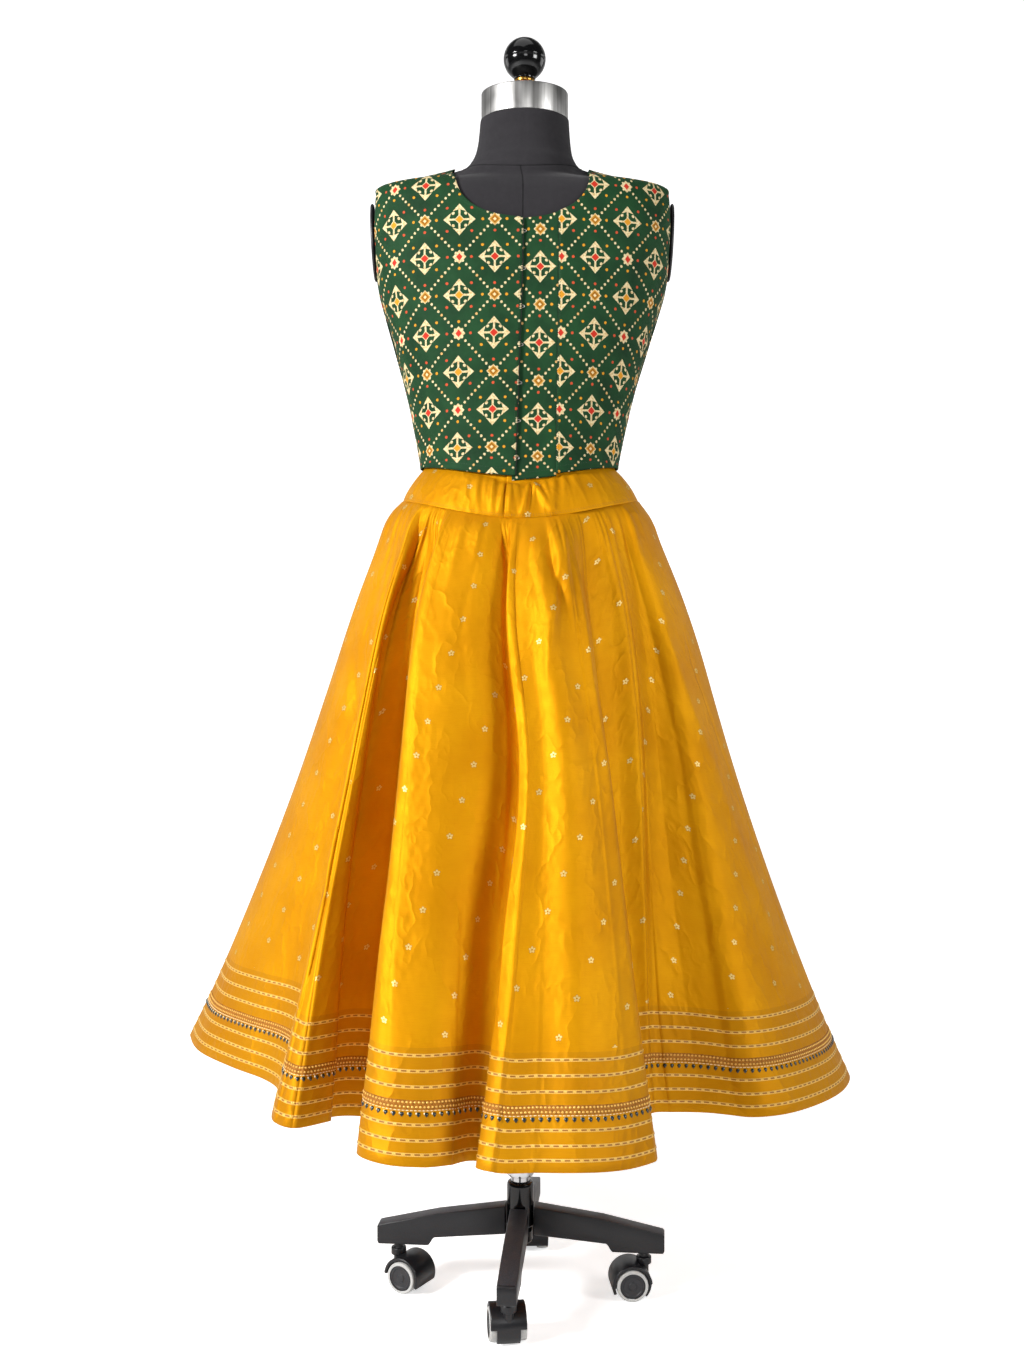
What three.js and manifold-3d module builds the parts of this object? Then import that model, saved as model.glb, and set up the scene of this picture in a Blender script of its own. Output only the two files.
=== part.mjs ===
import * as THREE from 'three';
import { mergeVertices } from 'three/addons/utils/BufferGeometryUtils.js';
import Module from 'manifold-3d';

// Two-piece festive set, a printed blouse and a flared silk skirt, on a limbless dress form
// that stands on a four-legged base with castors. Millimetres, +Z up, floor at Z = 0,
// the pole on the Z axis. The hooked back of the blouse faces -Y.

const cloth = {
  blouse: 1.3, placket: 1.0, yoke: 1.0, skirt: 1.2,
  seamGap: 0.4, layerGap: 0.75,
};
const yokeEase = 1.1;
const lapStep = 1.35;
const bustEase = 1.6;
const lapEdgeX = -15;
const lapUnderX = -1;
const openingTopX = 0.5;
const openingHemX = -5;
const backHemZ = 1020;
const backNeckZ = 1322;
const placketLeftX = -9;
const placketRightX = 42;
const hemLevel = 298;
const hemTilt = 16 / 410;
const baseTurn = -5.4;
const legReach = 182;
const stemReach = 156;
const stemOffset = 17;
const wheelRadius = 20;
const wheelSides = 16;
const wheelWidth = 15.3;
const wheelInnerY = 7.1;

const wasm = await Module();
wasm.setup();

const degrees = Math.PI / 180;

// cross-sections of the form: height, half width, depth to the back, depth to the front,
// squareness of the outline, sideways lean of the section, and radius of the neck that the
// shoulders blend into
const formSections = [
  { z: 806, half: 160, back: 110, front: 108, power: 2.2, shift: 0, neck: 20 },
  { z: 826, half: 167, back: 114, front: 113, power: 2.2, shift: 0, neck: 20 },
  { z: 870, half: 166, back: 114, front: 112, power: 2.2, shift: 0, neck: 20 },
  { z: 920, half: 157, back: 110, front: 106, power: 2.2, shift: 0, neck: 20 },
  { z: 969, half: 141, back: 102, front: 99, power: 2.2, shift: -0.5, neck: 20 },
  { z: 1000, half: 128, back: 94, front: 95, power: 2.2, shift: -1, neck: 20 },
  { z: 1022, half: 119, back: 88.5, front: 92, power: 2.2, shift: -1.5, neck: 20 },
  { z: 1037, half: 116, back: 87, front: 91.5, power: 2.2, shift: -1.5, neck: 20 },
  { z: 1052, half: 118.5, back: 87.5, front: 92.5, power: 2.2, shift: -1.4, neck: 20 },
  { z: 1077, half: 124.5, back: 90, front: 96, power: 2.25, shift: -1, neck: 20 },
  { z: 1107, half: 131.8, back: 93, front: 101, power: 2.3, shift: -0.5, neck: 20 },
  { z: 1137, half: 139.2, back: 96, front: 108, power: 2.4, shift: 0, neck: 20 },
  { z: 1166, half: 146.6, back: 99, front: 114, power: 2.5, shift: 0.5, neck: 20 },
  { z: 1196, half: 154.5, back: 101, front: 119, power: 2.55, shift: 1, neck: 20 },
  { z: 1225, half: 163.7, back: 102, front: 120, power: 2.6, shift: 1.5, neck: 20 },
  { z: 1254, half: 172.6, back: 102, front: 117, power: 2.65, shift: 1.8, neck: 20 },
  { z: 1284, half: 176.6, back: 101, front: 111, power: 2.7, shift: 2, neck: 20 },
  { z: 1313, half: 179.4, back: 98.5, front: 103, power: 2.65, shift: 2, neck: 20 },
  { z: 1342, half: 181, back: 93.5, front: 91, power: 2.55, shift: 2, neck: 30 },
  { z: 1366, half: 180.5, back: 85.5, front: 79, power: 2.3, shift: 2, neck: 58 },
  { z: 1377, half: 177.5, back: 76, front: 70, power: 2, shift: 1.6, neck: 68 },
  { z: 1383, half: 165, back: 66, front: 61, power: 1.65, shift: 0.6, neck: 72 },
  { z: 1388, half: 144, back: 54, front: 49.5, power: 1.35, shift: -0.4, neck: 72.8 },
  { z: 1393, half: 122, back: 42, front: 39, power: 1.25, shift: -0.8, neck: 71.8 },
  { z: 1398, half: 102, back: 32, front: 30, power: 1.2, shift: -0.4, neck: 69.8 },
  { z: 1402, half: 85, back: 28, front: 26, power: 1.3, shift: 1.4, neck: 67.8 },
  { z: 1408, half: 64, back: 28, front: 26, power: 1.6, shift: 2.8, neck: 65.6 },
  { z: 1417, half: 50, back: 30, front: 28, power: 2, shift: 3.5, neck: 61.2 },
  { z: 1432, half: 30, back: 25, front: 25, power: 2, shift: 4.4, neck: 57.6 },
  { z: 1463.6, half: 30, back: 25, front: 25, power: 2, shift: 5, neck: 54.5 },
];
const neckBlend = 12;

// looseness of the blouse over the form, by height
const blouseEase = [
  { z: 1000, ease: 5.5 }, { z: 1052, ease: 5.5 }, { z: 1077, ease: 4.1 }, { z: 1107, ease: 3.1 },
  { z: 1140, ease: 2.8 }, { z: 1330, ease: 2.8 }, { z: 1372, ease: 2 }, { z: 1402, ease: 1.9 },
];

// rows of a half blouse back: edge at the centre or the neckline (x, z) and edge at the
// side seam or the armhole (depth off the side line, z)
const backRows = [
  { x: 0, z: 1020, depth: 0, sideZ: 1037 },
  { x: 0, z: 1036, depth: 0, sideZ: 1051 },
  { x: 0, z: 1058, depth: 0, sideZ: 1070 },
  { x: 0, z: 1087, depth: 0, sideZ: 1096 },
  { x: 0, z: 1120, depth: 0, sideZ: 1126 },
  { x: 0, z: 1155, depth: 0, sideZ: 1158 },
  { x: 0, z: 1190, depth: 0, sideZ: 1190 },
  { x: 0, z: 1226, depth: 0, sideZ: 1224 },
  { x: 0, z: 1262, depth: 0, sideZ: 1254 },
  { x: 0, z: 1298, depth: 20, sideZ: 1268 },
  { x: 0, z: 1322, depth: 32, sideZ: 1295 },
  { x: 20, z: 1324.6, depth: 33, sideZ: 1322 },
  { x: 40, z: 1329, depth: 33, sideZ: 1344 },
  { x: 58, z: 1338, depth: 29, sideZ: 1359.5 },
  { x: 69.5, z: 1349, depth: 24, sideZ: 1367.5 },
  { x: 75.8, z: 1359.5, depth: 18, sideZ: 1372.5 },
  { x: 79, z: 1370, depth: 13, sideZ: 1375.4 },
  { x: 80.6, z: 1380, depth: 9, sideZ: 1377 },
  { x: 81.4, z: 1390, depth: 5, sideZ: 1378.2 },
  { x: 81.9, z: 1398, depth: 2, sideZ: 1378.8 },
  { x: 82, z: 1403, depth: 0, sideZ: 1379 },
];

// the same for a half blouse front, with its deeper scoop
const frontRows = [
  { x: 0, z: 1025, depth: 0, sideZ: 1037 },
  { x: 0, z: 1040, depth: 0, sideZ: 1051 },
  { x: 0, z: 1062, depth: 0, sideZ: 1070 },
  { x: 0, z: 1090, depth: 0, sideZ: 1096 },
  { x: 0, z: 1122, depth: 0, sideZ: 1126 },
  { x: 0, z: 1154, depth: 0, sideZ: 1158 },
  { x: 0, z: 1186, depth: 0, sideZ: 1190 },
  { x: 0, z: 1216, depth: 0, sideZ: 1224 },
  { x: 0, z: 1244, depth: 0, sideZ: 1254 },
  { x: 0, z: 1268, depth: 20, sideZ: 1268 },
  { x: 0, z: 1288, depth: 32, sideZ: 1295 },
  { x: 26, z: 1291, depth: 33, sideZ: 1322 },
  { x: 48, z: 1303, depth: 33, sideZ: 1344 },
  { x: 62, z: 1321, depth: 29, sideZ: 1359.5 },
  { x: 71, z: 1342, depth: 24, sideZ: 1367.5 },
  { x: 76, z: 1359, depth: 18, sideZ: 1372.5 },
  { x: 79, z: 1373, depth: 13, sideZ: 1375.4 },
  { x: 80.6, z: 1383, depth: 9, sideZ: 1377 },
  { x: 81.4, z: 1391, depth: 5, sideZ: 1378.2 },
  { x: 81.9, z: 1398, depth: 2, sideZ: 1378.8 },
  { x: 82, z: 1403, depth: 0, sideZ: 1379 },
];

// how far the skirt has opened from its seam to its hem, and how deep its folds are there
const flare = [
  { s: -0.05, open: -0.05, fold: 0.03 },
  { s: 0, open: 0, fold: 0.03 }, { s: 0.02, open: 0.04, fold: 0.06 },
  { s: 0.08, open: 0.115, fold: 0.13 }, { s: 0.17, open: 0.214, fold: 0.23 },
  { s: 0.35, open: 0.37, fold: 0.4 }, { s: 0.53, open: 0.52, fold: 0.57 },
  { s: 0.71, open: 0.688, fold: 0.73 }, { s: 0.9, open: 0.88, fold: 0.91 },
  { s: 1, open: 1, fold: 1 }, { s: 1.05, open: 1.06, fold: 1.05 },
];

// the folds: bearing of each fold line in degrees from -Y towards +X at five heights (seam,
// 0.15, 0.4, 0.7, hem), its radius at the hem, and how far it is lifted between seam and hem
const folds = [
  { seam: -97, upper: -97, middle: -97, lower: -97, hem: -97.5, radius: 428, lift: -7 },
  { seam: -93, upper: -92, middle: -92.5, lower: -93, hem: -94, radius: 422, lift: -7 },
  { seam: -84, upper: -83, middle: -84, lower: -85, hem: -86, radius: 400, lift: -4 },
  { seam: -76, upper: -74, middle: -74, lower: -75, hem: -75.7, radius: 360, lift: 0 },
  { seam: -71, upper: -68, middle: -66.5, lower: -66, hem: -65.6, radius: 330, lift: 0 },
  { seam: -67, upper: -63, middle: -60.5, lower: -59.5, hem: -58.4, radius: 329, lift: 0 },
  { seam: -62, upper: -58.5, middle: -55, lower: -52.5, hem: -50, radius: 360, lift: 0 },
  { seam: -57, upper: -55.3, middle: -51, lower: -47, hem: -42.5, radius: 394, lift: 4 },
  { seam: -54, upper: -53, middle: -49, lower: -44.7, hem: -38.6, radius: 392, lift: 4 },
  { seam: -51.5, upper: -51.2, middle: -47.6, lower: -42.8, hem: -36.6, radius: 350, lift: 0 },
  { seam: -49, upper: -49, middle: -45.8, lower: -40.7, hem: -34.6, radius: 305, lift: -6 },
  { seam: -46, upper: -45.6, middle: -41.2, lower: -36, hem: -30.6, radius: 296, lift: -10, seamHere: true },
  { seam: -43, upper: -41.5, middle: -36.4, lower: -31.3, hem: -27, radius: 312, lift: -6 },
  { seam: -40.5, upper: -38.8, middle: -33.6, lower: -28.7, hem: -25, radius: 380, lift: 2 },
  { seam: -38, upper: -37, middle: -31.8, lower: -27, hem: -23, radius: 418, lift: 4 },
  { seam: -34, upper: -33.3, middle: -28.4, lower: -23.6, hem: -18.6, radius: 431, lift: 0 },
  { seam: -27, upper: -26.5, middle: -22.5, lower: -18, hem: -13.6, radius: 423, lift: 0 },
  { seam: -19, upper: -18.5, middle: -14.6, lower: -12.4, hem: -9.9, radius: 404, lift: -2 },
  { seam: -11, upper: -10.8, middle: -6.4, lower: -7.6, hem: -7.3, radius: 388, lift: -10 },
  { seam: -7.5, upper: -7.6, middle: -2.6, lower: -5, hem: -6.2, radius: 392, lift: -12 },
  { seam: -4.6, upper: -4.7, middle: 0, lower: -2.8, hem: -5.5, radius: 414, lift: 0 },
  { seam: -2, upper: -2.3, middle: 2, lower: -0.9, hem: -3.6, radius: 422, lift: 4 },
  { seam: 4, upper: 4, middle: 6, lower: 3.6, hem: 1.6, radius: 418, lift: 0 },
  { seam: 12, upper: 11.5, middle: 12, lower: 10.2, hem: 8.6, radius: 420, lift: 0 },
  { seam: 19, upper: 19, middle: 18.6, lower: 16.9, hem: 15.2, radius: 409, lift: 0 },
  { seam: 24.5, upper: 24.7, middle: 23.6, lower: 22.3, hem: 20.8, radius: 385, lift: 3 },
  { seam: 28, upper: 27.6, middle: 25.8, lower: 24.3, hem: 22.9, radius: 346, lift: 0 },
  { seam: 33, upper: 32, middle: 29.6, lower: 27.8, hem: 26.4, radius: 285, lift: -6 },
  { seam: 40, upper: 41, middle: 38.6, lower: 34.4, hem: 31.8, radius: 259, lift: 0 },
  { seam: 45, upper: 48, middle: 46.4, lower: 40.8, hem: 36.6, radius: 254, lift: 12, seamHere: true },
  { seam: 48.5, upper: 51.5, middle: 50.4, lower: 44.4, hem: 40.2, radius: 262, lift: 4 },
  { seam: 54, upper: 57, middle: 56.5, lower: 51.6, hem: 46.8, radius: 288, lift: -4 },
  { seam: 59, upper: 62, middle: 61.5, lower: 57.5, hem: 51.5, radius: 332, lift: 0 },
  { seam: 65, upper: 67, middle: 67, lower: 63.5, hem: 57, radius: 355, lift: 0 },
  { seam: 74, upper: 75, middle: 75.4, lower: 73, hem: 67, radius: 378, lift: 0 },
  { seam: 82, upper: 82.5, middle: 83, lower: 81.8, hem: 78, radius: 400, lift: -3 },
  { seam: 90, upper: 90, middle: 90, lower: 90, hem: 88, radius: 411, lift: -4, seamHere: true },
  { seam: 98, upper: 98, middle: 98, lower: 98, hem: 97, radius: 403, lift: -3 },
  { seam: 105, radius: 362 },
  { seam: 111, radius: 318 },
  { seam: 118, radius: 302, seamHere: true },
  { seam: 125, radius: 322 },
  { seam: 131, radius: 372 },
  { seam: 139, radius: 404 },
  { seam: 147, radius: 406 },
  { seam: 154, radius: 378 },
  { seam: 159.5, radius: 330 },
  { seam: 165, radius: 306, seamHere: true },
  { seam: 170.5, radius: 324 },
  { seam: 175.5, radius: 384 },
  { seam: 182, radius: 414 },
  { seam: 189, radius: 410 },
  { seam: 196, radius: 370 },
  { seam: 201.5, radius: 324 },
  { seam: 207, radius: 306, seamHere: true },
  { seam: 213, radius: 326 },
  { seam: 218.5, radius: 374 },
  { seam: 226, radius: 404 },
  { seam: 233, radius: 398 },
  { seam: 239, radius: 362 },
  { seam: 244, radius: 324, seamHere: true },
  { seam: 249, radius: 312 },
  { seam: 254, radius: 346 },
  { seam: 258.5, radius: 396 },
];

const hemMean = 365;
const seamHalf = 145;
const seamDepth = 117;

// smooth value of one column of a table at x
function lookUp(table, key, column, x) {
  const last = table.length - 1;
  let i = 0;
  while (i < last - 1 && x > table[i + 1][key]) i += 1;
  const slope = (a, b) => (table[b][column] - table[a][column]) / (table[b][key] - table[a][key]);
  const width = table[i + 1][key] - table[i][key];
  const t = Math.min(1, Math.max(0, (x - table[i][key]) / width));
  const here = slope(i, i + 1);
  const before = i > 0 ? (slope(i - 1, i) + here) / 2 : here;
  const after = i < last - 1 ? (slope(i + 1, i + 2) + here) / 2 : here;
  const t2 = t * t;
  const t3 = t2 * t;
  return table[i][column] * (2 * t3 - 3 * t2 + 1) + table[i + 1][column] * (3 * t2 - 2 * t3)
    + width * (before * (t3 - 2 * t2 + t) + after * (t3 - t2));
}

// straight-line value of one column of a table at x
function ramp(table, key, column, x) {
  const last = table.length - 1;
  let i = 0;
  while (i < last - 1 && x > table[i + 1][key]) i += 1;
  const t = Math.min(1, Math.max(0, (x - table[i][key]) / (table[i + 1][key] - table[i][key])));
  return table[i][column] * (1 - t) + table[i + 1][column] * t;
}

function sectionAt(z) {
  const value = (column) => lookUp(formSections, 'z', column, z);
  return {
    half: value('half'), back: value('back'), front: value('front'),
    power: value('power'), shift: value('shift'), neck: value('neck'),
  };
}

// point of the form's surface at a bearing (radians from -Y towards +X) and a height
function formPoint(bearing, z) {
  const section = sectionAt(z);
  const depth = Math.cos(bearing) > 0 ? section.back : section.front;
  const n = section.power;
  const across = Math.abs(Math.sin(bearing)) / section.half;
  const along = Math.abs(Math.cos(bearing)) / depth;
  let radius = (across ** n + along ** n) ** (-1 / n);
  radius = (radius ** neckBlend + section.neck ** neckBlend) ** (1 / neckBlend);
  const x = radius * Math.sin(bearing);
  if (Math.cos(bearing) < 0) {
    const side = (Math.abs(x) - 76) / 44;
    const level = (z - 1208) / 46;
    radius += 17 * Math.exp(-side * side - level * level);
  }
  return new THREE.Vector3(radius * Math.sin(bearing) + section.shift, -radius * Math.cos(bearing), z);
}

function formNormal(bearing, z) {
  const step = 0.5;
  const turn = 0.01;
  const along = formPoint(bearing + turn, z).sub(formPoint(bearing - turn, z));
  const up = formPoint(bearing, z + step).sub(formPoint(bearing, z - step));
  return along.cross(up).normalize();
}

// bearing of the form's surface point whose distance from the centre plane is x
function bearingAtX(x, z, onBack) {
  const section = sectionAt(z);
  const depth = onBack ? section.back : section.front;
  const share = Math.min(1, Math.abs(x) / section.half);
  const y = depth * (1 - share ** section.power) ** (1 / section.power);
  return Math.atan2(x, onBack ? y : -y);
}

// bearing of the form's side point that lies a given depth off the side line
function bearingAtDepth(depth, z, side, onBack) {
  const section = sectionAt(z);
  const full = onBack ? section.back : section.front;
  const x = section.half * (1 - (depth / full) ** section.power) ** (1 / section.power);
  return Math.atan2(side * x, onBack ? depth : -depth);
}

// shares of a path, evenly spaced along its length; path(share) gives a point
function evenShares(path, count) {
  const fine = 60;
  const lengths = [0];
  let last = path(0);
  for (let i = 1; i <= fine; i += 1) {
    const next = path(i / fine);
    lengths.push(lengths[i - 1] + next.distanceTo(last));
    last = next;
  }
  return Array.from({ length: count }, (_, n) => {
    const goal = (lengths[fine] * n) / (count - 1);
    let i = 0;
    while (i < fine - 1 && lengths[i + 1] < goal) i += 1;
    return (i + (goal - lengths[i]) / (lengths[i + 1] - lengths[i])) / fine;
  });
}

// indexed grid of surface points; at(column, row) gives {point, normal}; rows run upwards
// and columns run from -Y towards +X, so that the faces look outwards
function gridSurface(columns, rows, at) {
  const points = [];
  const normals = [];
  const faces = [];
  for (let j = 0; j < rows; j += 1) {
    for (let i = 0; i < columns; i += 1) {
      const { point, normal } = at(i, j);
      points.push(point);
      normals.push(normal);
    }
  }
  for (let j = 0; j < rows - 1; j += 1) {
    for (let i = 0; i < columns - 1; i += 1) {
      const a = j * columns + i;
      const b = a + 1;
      const c = b + columns;
      const d = a + columns;
      faces.push([a, b, c], [a, c, d]);
    }
  }
  return { points, normals, faces };
}

// one surface out of several, with their shared points made one
function joinSurfaces(surfaces) {
  const points = [];
  const normals = [];
  const faces = [];
  const seen = new Map();
  for (const surface of surfaces) {
    const index = surface.points.map((point, i) => {
      const key = point.toArray().map((value) => Math.round(value * 500)).join(' ');
      if (!seen.has(key)) {
        seen.set(key, points.length);
        points.push(point);
        normals.push(surface.normals[i]);
      }
      return seen.get(key);
    });
    for (const face of surface.faces) {
      const [a, b, c] = face.map((i) => index[i]);
      if (a !== b && b !== c && c !== a) faces.push([a, b, c]);
    }
  }
  return { points, normals, faces };
}

function geometryFrom(points, faces) {
  const geometry = new THREE.BufferGeometry();
  geometry.setAttribute('position', new THREE.Float32BufferAttribute(points.flatMap((p) => p.toArray()), 3));
  geometry.setIndex(faces.flat());
  geometry.computeVertexNormals();
  return geometry;
}

// closed wall of even thickness over a surface, with rims along its open edges
function wallOver(surface, thickness) {
  const count = surface.points.length;
  const outer = surface.points.map((p, i) => p.clone().addScaledVector(surface.normals[i], thickness));
  const points = [...surface.points, ...outer];
  const faces = [];
  const edges = new Map();
  for (const [a, b, c] of surface.faces) {
    faces.push([a + count, b + count, c + count], [c, b, a]);
    for (const [p, q] of [[a, b], [b, c], [c, a]]) {
      const back = `${q} ${p}`;
      if (edges.has(back)) edges.delete(back);
      else edges.set(`${p} ${q}`, [p, q]);
    }
  }
  for (const [p, q] of edges.values()) {
    faces.push([q + count, p + count, p], [q + count, p, q]);
  }
  return geometryFrom(points, faces);
}

function toSolid(geometry) {
  const bare = geometry.clone();
  bare.deleteAttribute('normal');
  bare.deleteAttribute('uv');
  const merged = mergeVertices(bare, 1e-4);
  return new wasm.Manifold(new wasm.Mesh({
    numProp: 3,
    vertProperties: new Float32Array(merged.attributes.position.array),
    triVerts: new Uint32Array(merged.index.array),
  }));
}

function fromSolid(solid) {
  const mesh = solid.getMesh();
  const geometry = new THREE.BufferGeometry();
  const positions = new Float32Array((mesh.vertProperties.length / mesh.numProp) * 3);
  for (let i = 0; i < positions.length / 3; i += 1) {
    for (let k = 0; k < 3; k += 1) positions[i * 3 + k] = mesh.vertProperties[i * mesh.numProp + k];
  }
  geometry.setAttribute('position', new THREE.Float32BufferAttribute(positions, 3));
  geometry.setIndex([...mesh.triVerts]);
  return geometry.toNonIndexed();
}

function joined(geometries) {
  const [first, ...others] = geometries.map(toSolid);
  const geometry = fromSolid(others.reduce((sum, solid) => sum.add(solid), first));
  geometry.computeVertexNormals();
  return geometry;
}

function paint(color, roughness, metalness) {
  return new THREE.MeshStandardMaterial({ color, roughness, metalness, side: THREE.DoubleSide });
}

const materials = {
  formCloth: paint(0x2e2d30, 0.9, 0),
  steel: paint(0xb9babb, 0.35, 1),
  blackGloss: paint(0x0b0b0c, 0.15, 0),
  brass: paint(0xb08a3c, 0.3, 1),
  chrome: paint(0xd5d7da, 0.12, 1),
  blackPlastic: paint(0x26262a, 0.5, 0),
  wheelGrey: paint(0xc4c5c3, 0.6, 0),
  print: paint(0x2c6a40, 0.85, 0),
  satin: paint(0xe09a1c, 0.45, 0),
};

const model = new THREE.Group();

function add(name, geometry, material, parent = model) {
  const mesh = new THREE.Mesh(geometry, material);
  mesh.name = name;
  parent.add(mesh);
  return mesh;
}

function formBody() {
  const around = 40;
  const heights = [
    806, 826, 950, 1000, 1022, 1037, 1052, 1076, 1136, 1166, 1196, 1225, 1254,
    1284, 1313, 1342, 1362, 1375, 1382, 1387, 1392, 1397, 1401, 1406, 1416, 1434, 1463.6,
  ];
  const quarter = evenShares((share) => formPoint((share * Math.PI) / 2, 1240), around / 4 + 1);
  const bearings = Array.from({ length: around }, (_, i) => {
    const turns = Math.floor(i / (around / 4));
    const place = i % (around / 4);
    const share = turns % 2 ? 1 - quarter[around / 4 - place] : quarter[place];
    return ((turns + share) * Math.PI) / 2;
  });
  const points = [];
  const faces = [];
  for (const z of heights) {
    for (const bearing of bearings) points.push(formPoint(bearing, z));
  }
  for (let j = 0; j < heights.length - 1; j += 1) {
    for (let i = 0; i < around; i += 1) {
      const a = j * around + i;
      const b = j * around + ((i + 1) % around);
      faces.push([a, b, b + around], [a, b + around, a + around]);
    }
  }
  const top = (heights.length - 1) * around;
  points.push(new THREE.Vector3(0, 0, heights[0]));
  points.push(new THREE.Vector3(sectionAt(1463.6).shift, 0, 1463.6));
  for (let i = 0; i < around; i += 1) {
    const next = (i + 1) % around;
    faces.push([points.length - 2, next, i], [points.length - 1, top + i, top + next]);
  }
  return geometryFrom(points, faces);
}

function turned(profile, segments) {
  const shape = new THREE.LatheGeometry(profile.map(([r, z]) => new THREE.Vector2(r, z)), segments);
  return shape.rotateX(Math.PI / 2);
}

// oval plate that closes an armhole of the form, lying against its sloping side
function armPlate(side) {
  const outline = new THREE.Shape();
  outline.absellipse(0, 0, 28.5, 46, 0, 2 * Math.PI, false, 0);
  const geometry = new THREE.ExtrudeGeometry(outline, {
    depth: 1.6, curveSegments: 10, bevelEnabled: true, bevelThickness: 1.4, bevelSize: 1.6, bevelSegments: 1,
  });
  geometry.rotateX(Math.PI / 2);
  geometry.rotateZ(Math.PI / 2);
  geometry.rotateY(2.6 * degrees);
  if (side < 0) geometry.rotateZ(Math.PI);
  geometry.translate(side * 182 + 2, 0, 1316);
  return geometry;
}

function addForm() {
  add('torso_form', formBody(), materials.formCloth);
  add('arm_plate_left', armPlate(-1), materials.blackPlastic);
  add('arm_plate_right', armPlate(1), materials.blackPlastic);
  const head = new THREE.Group();
  head.position.set(5, 0, 0);
  model.add(head);
  add('neck_cap', turned([[0, 1464], [53.4, 1464], [53.4, 1496.2], [52.6, 1497], [0, 1497]], 32),
    materials.steel, head);
  add('knob_stem', turned([[0, 1497.3], [9.5, 1497.3], [9.5, 1515.2], [0, 1515.2]], 20), materials.brass, head);
  const ball = [[0, 1515.5], [13, 1515.5], [19.2, 1521], [23.6, 1529], [25.4, 1538.6], [26, 1539]];
  for (let i = 0; i <= 5; i += 1) {
    const angle = (i / 5) * 90 * degrees;
    ball.push([26 * Math.cos(angle), 1540 + 26 * Math.sin(angle)]);
  }
  ball[ball.length - 1][0] = 0;
  add('knob', turned(ball, 24), materials.blackGloss, head);
}

function legGeometry() {
  const outline = new THREE.Shape();
  const profile = [
    [19.3, 76.5], [109, 68.6], [118, 58.4], [176, 58.4], [legReach - 1.4, 61], [legReach - 1.4, 80.5],
    [105, 97.1], [19.3, 109.6],
  ];
  profile.forEach(([r, z], i) => (i ? outline.lineTo(r, z) : outline.moveTo(r, z)));
  const geometry = new THREE.ExtrudeGeometry(outline, {
    depth: 20.6, bevelEnabled: true, bevelThickness: 1.4, bevelSize: 1.4, bevelSegments: 1,
  });
  geometry.translate(0, 0, -10.3);
  return geometry.rotateX(Math.PI / 2);
}

// part of a ring about the wheel axle, which runs along Y at height z
function hoodShell(fromAngle, toAngle, inner, outer, width) {
  const steps = Math.ceil(Math.abs(toAngle - fromAngle) / 25);
  const outline = new THREE.Shape();
  for (let i = 0; i <= steps; i += 1) {
    const a = (fromAngle + ((toAngle - fromAngle) * i) / steps) * degrees;
    if (i === 0) outline.moveTo(outer * Math.cos(a), outer * Math.sin(a));
    else outline.lineTo(outer * Math.cos(a), outer * Math.sin(a));
  }
  for (let i = steps; i >= 0; i -= 1) {
    const a = (fromAngle + ((toAngle - fromAngle) * i) / steps) * degrees;
    outline.lineTo(inner * Math.cos(a), inner * Math.sin(a));
  }
  const geometry = new THREE.ExtrudeGeometry(outline, { depth: width, bevelEnabled: false });
  geometry.translate(0, 0, -width / 2);
  return geometry.rotateX(Math.PI / 2);
}

function rod(radius, length, segments) {
  return new THREE.CylinderGeometry(radius, radius, length, segments);
}

// castor frame about its swivel axis at x = 0; the axle trails at x = -stemOffset
function castorFrame() {
  const axleZ = wheelRadius * Math.cos(Math.PI / wheelSides);
  const shell = hoodShell(4, 204, 21.6, 25.2, 43);
  const apron = hoodShell(-42, 10, 21.6, 25.2, 28);
  const web = hoodShell(-42, 204, 1, 24, 12.4);
  const pieces = [shell, apron, web];
  for (const piece of pieces) piece.translate(-stemOffset, 0, axleZ);
  pieces.push(rod(3, 43, 10).translate(-stemOffset, 0, axleZ));
  pieces.push(rod(6.2, 24, 12).rotateX(Math.PI / 2).translate(0, 0, 37));
  pieces.push(rod(9.6, 9, 14).rotateX(Math.PI / 2).translate(0, 0, 45.5));
  pieces.push(rod(5.6, 10, 12).rotateX(Math.PI / 2).translate(0, 0, 51.6));
  return joined(pieces);
}

function wheelGeometry() {
  const half = wheelWidth / 2;
  const profile = [
    [3.5, -half], [wheelRadius - 1.4, -half], [wheelRadius, -half + 1.6],
    [wheelRadius, half - 1.6], [wheelRadius - 1.4, half], [3.5, half], [3.5, -half],
  ];
  const shape = new THREE.LatheGeometry(profile.map(([r, y]) => new THREE.Vector2(r, y)), wheelSides);
  return shape.rotateY(Math.PI / wheelSides);
}

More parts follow.
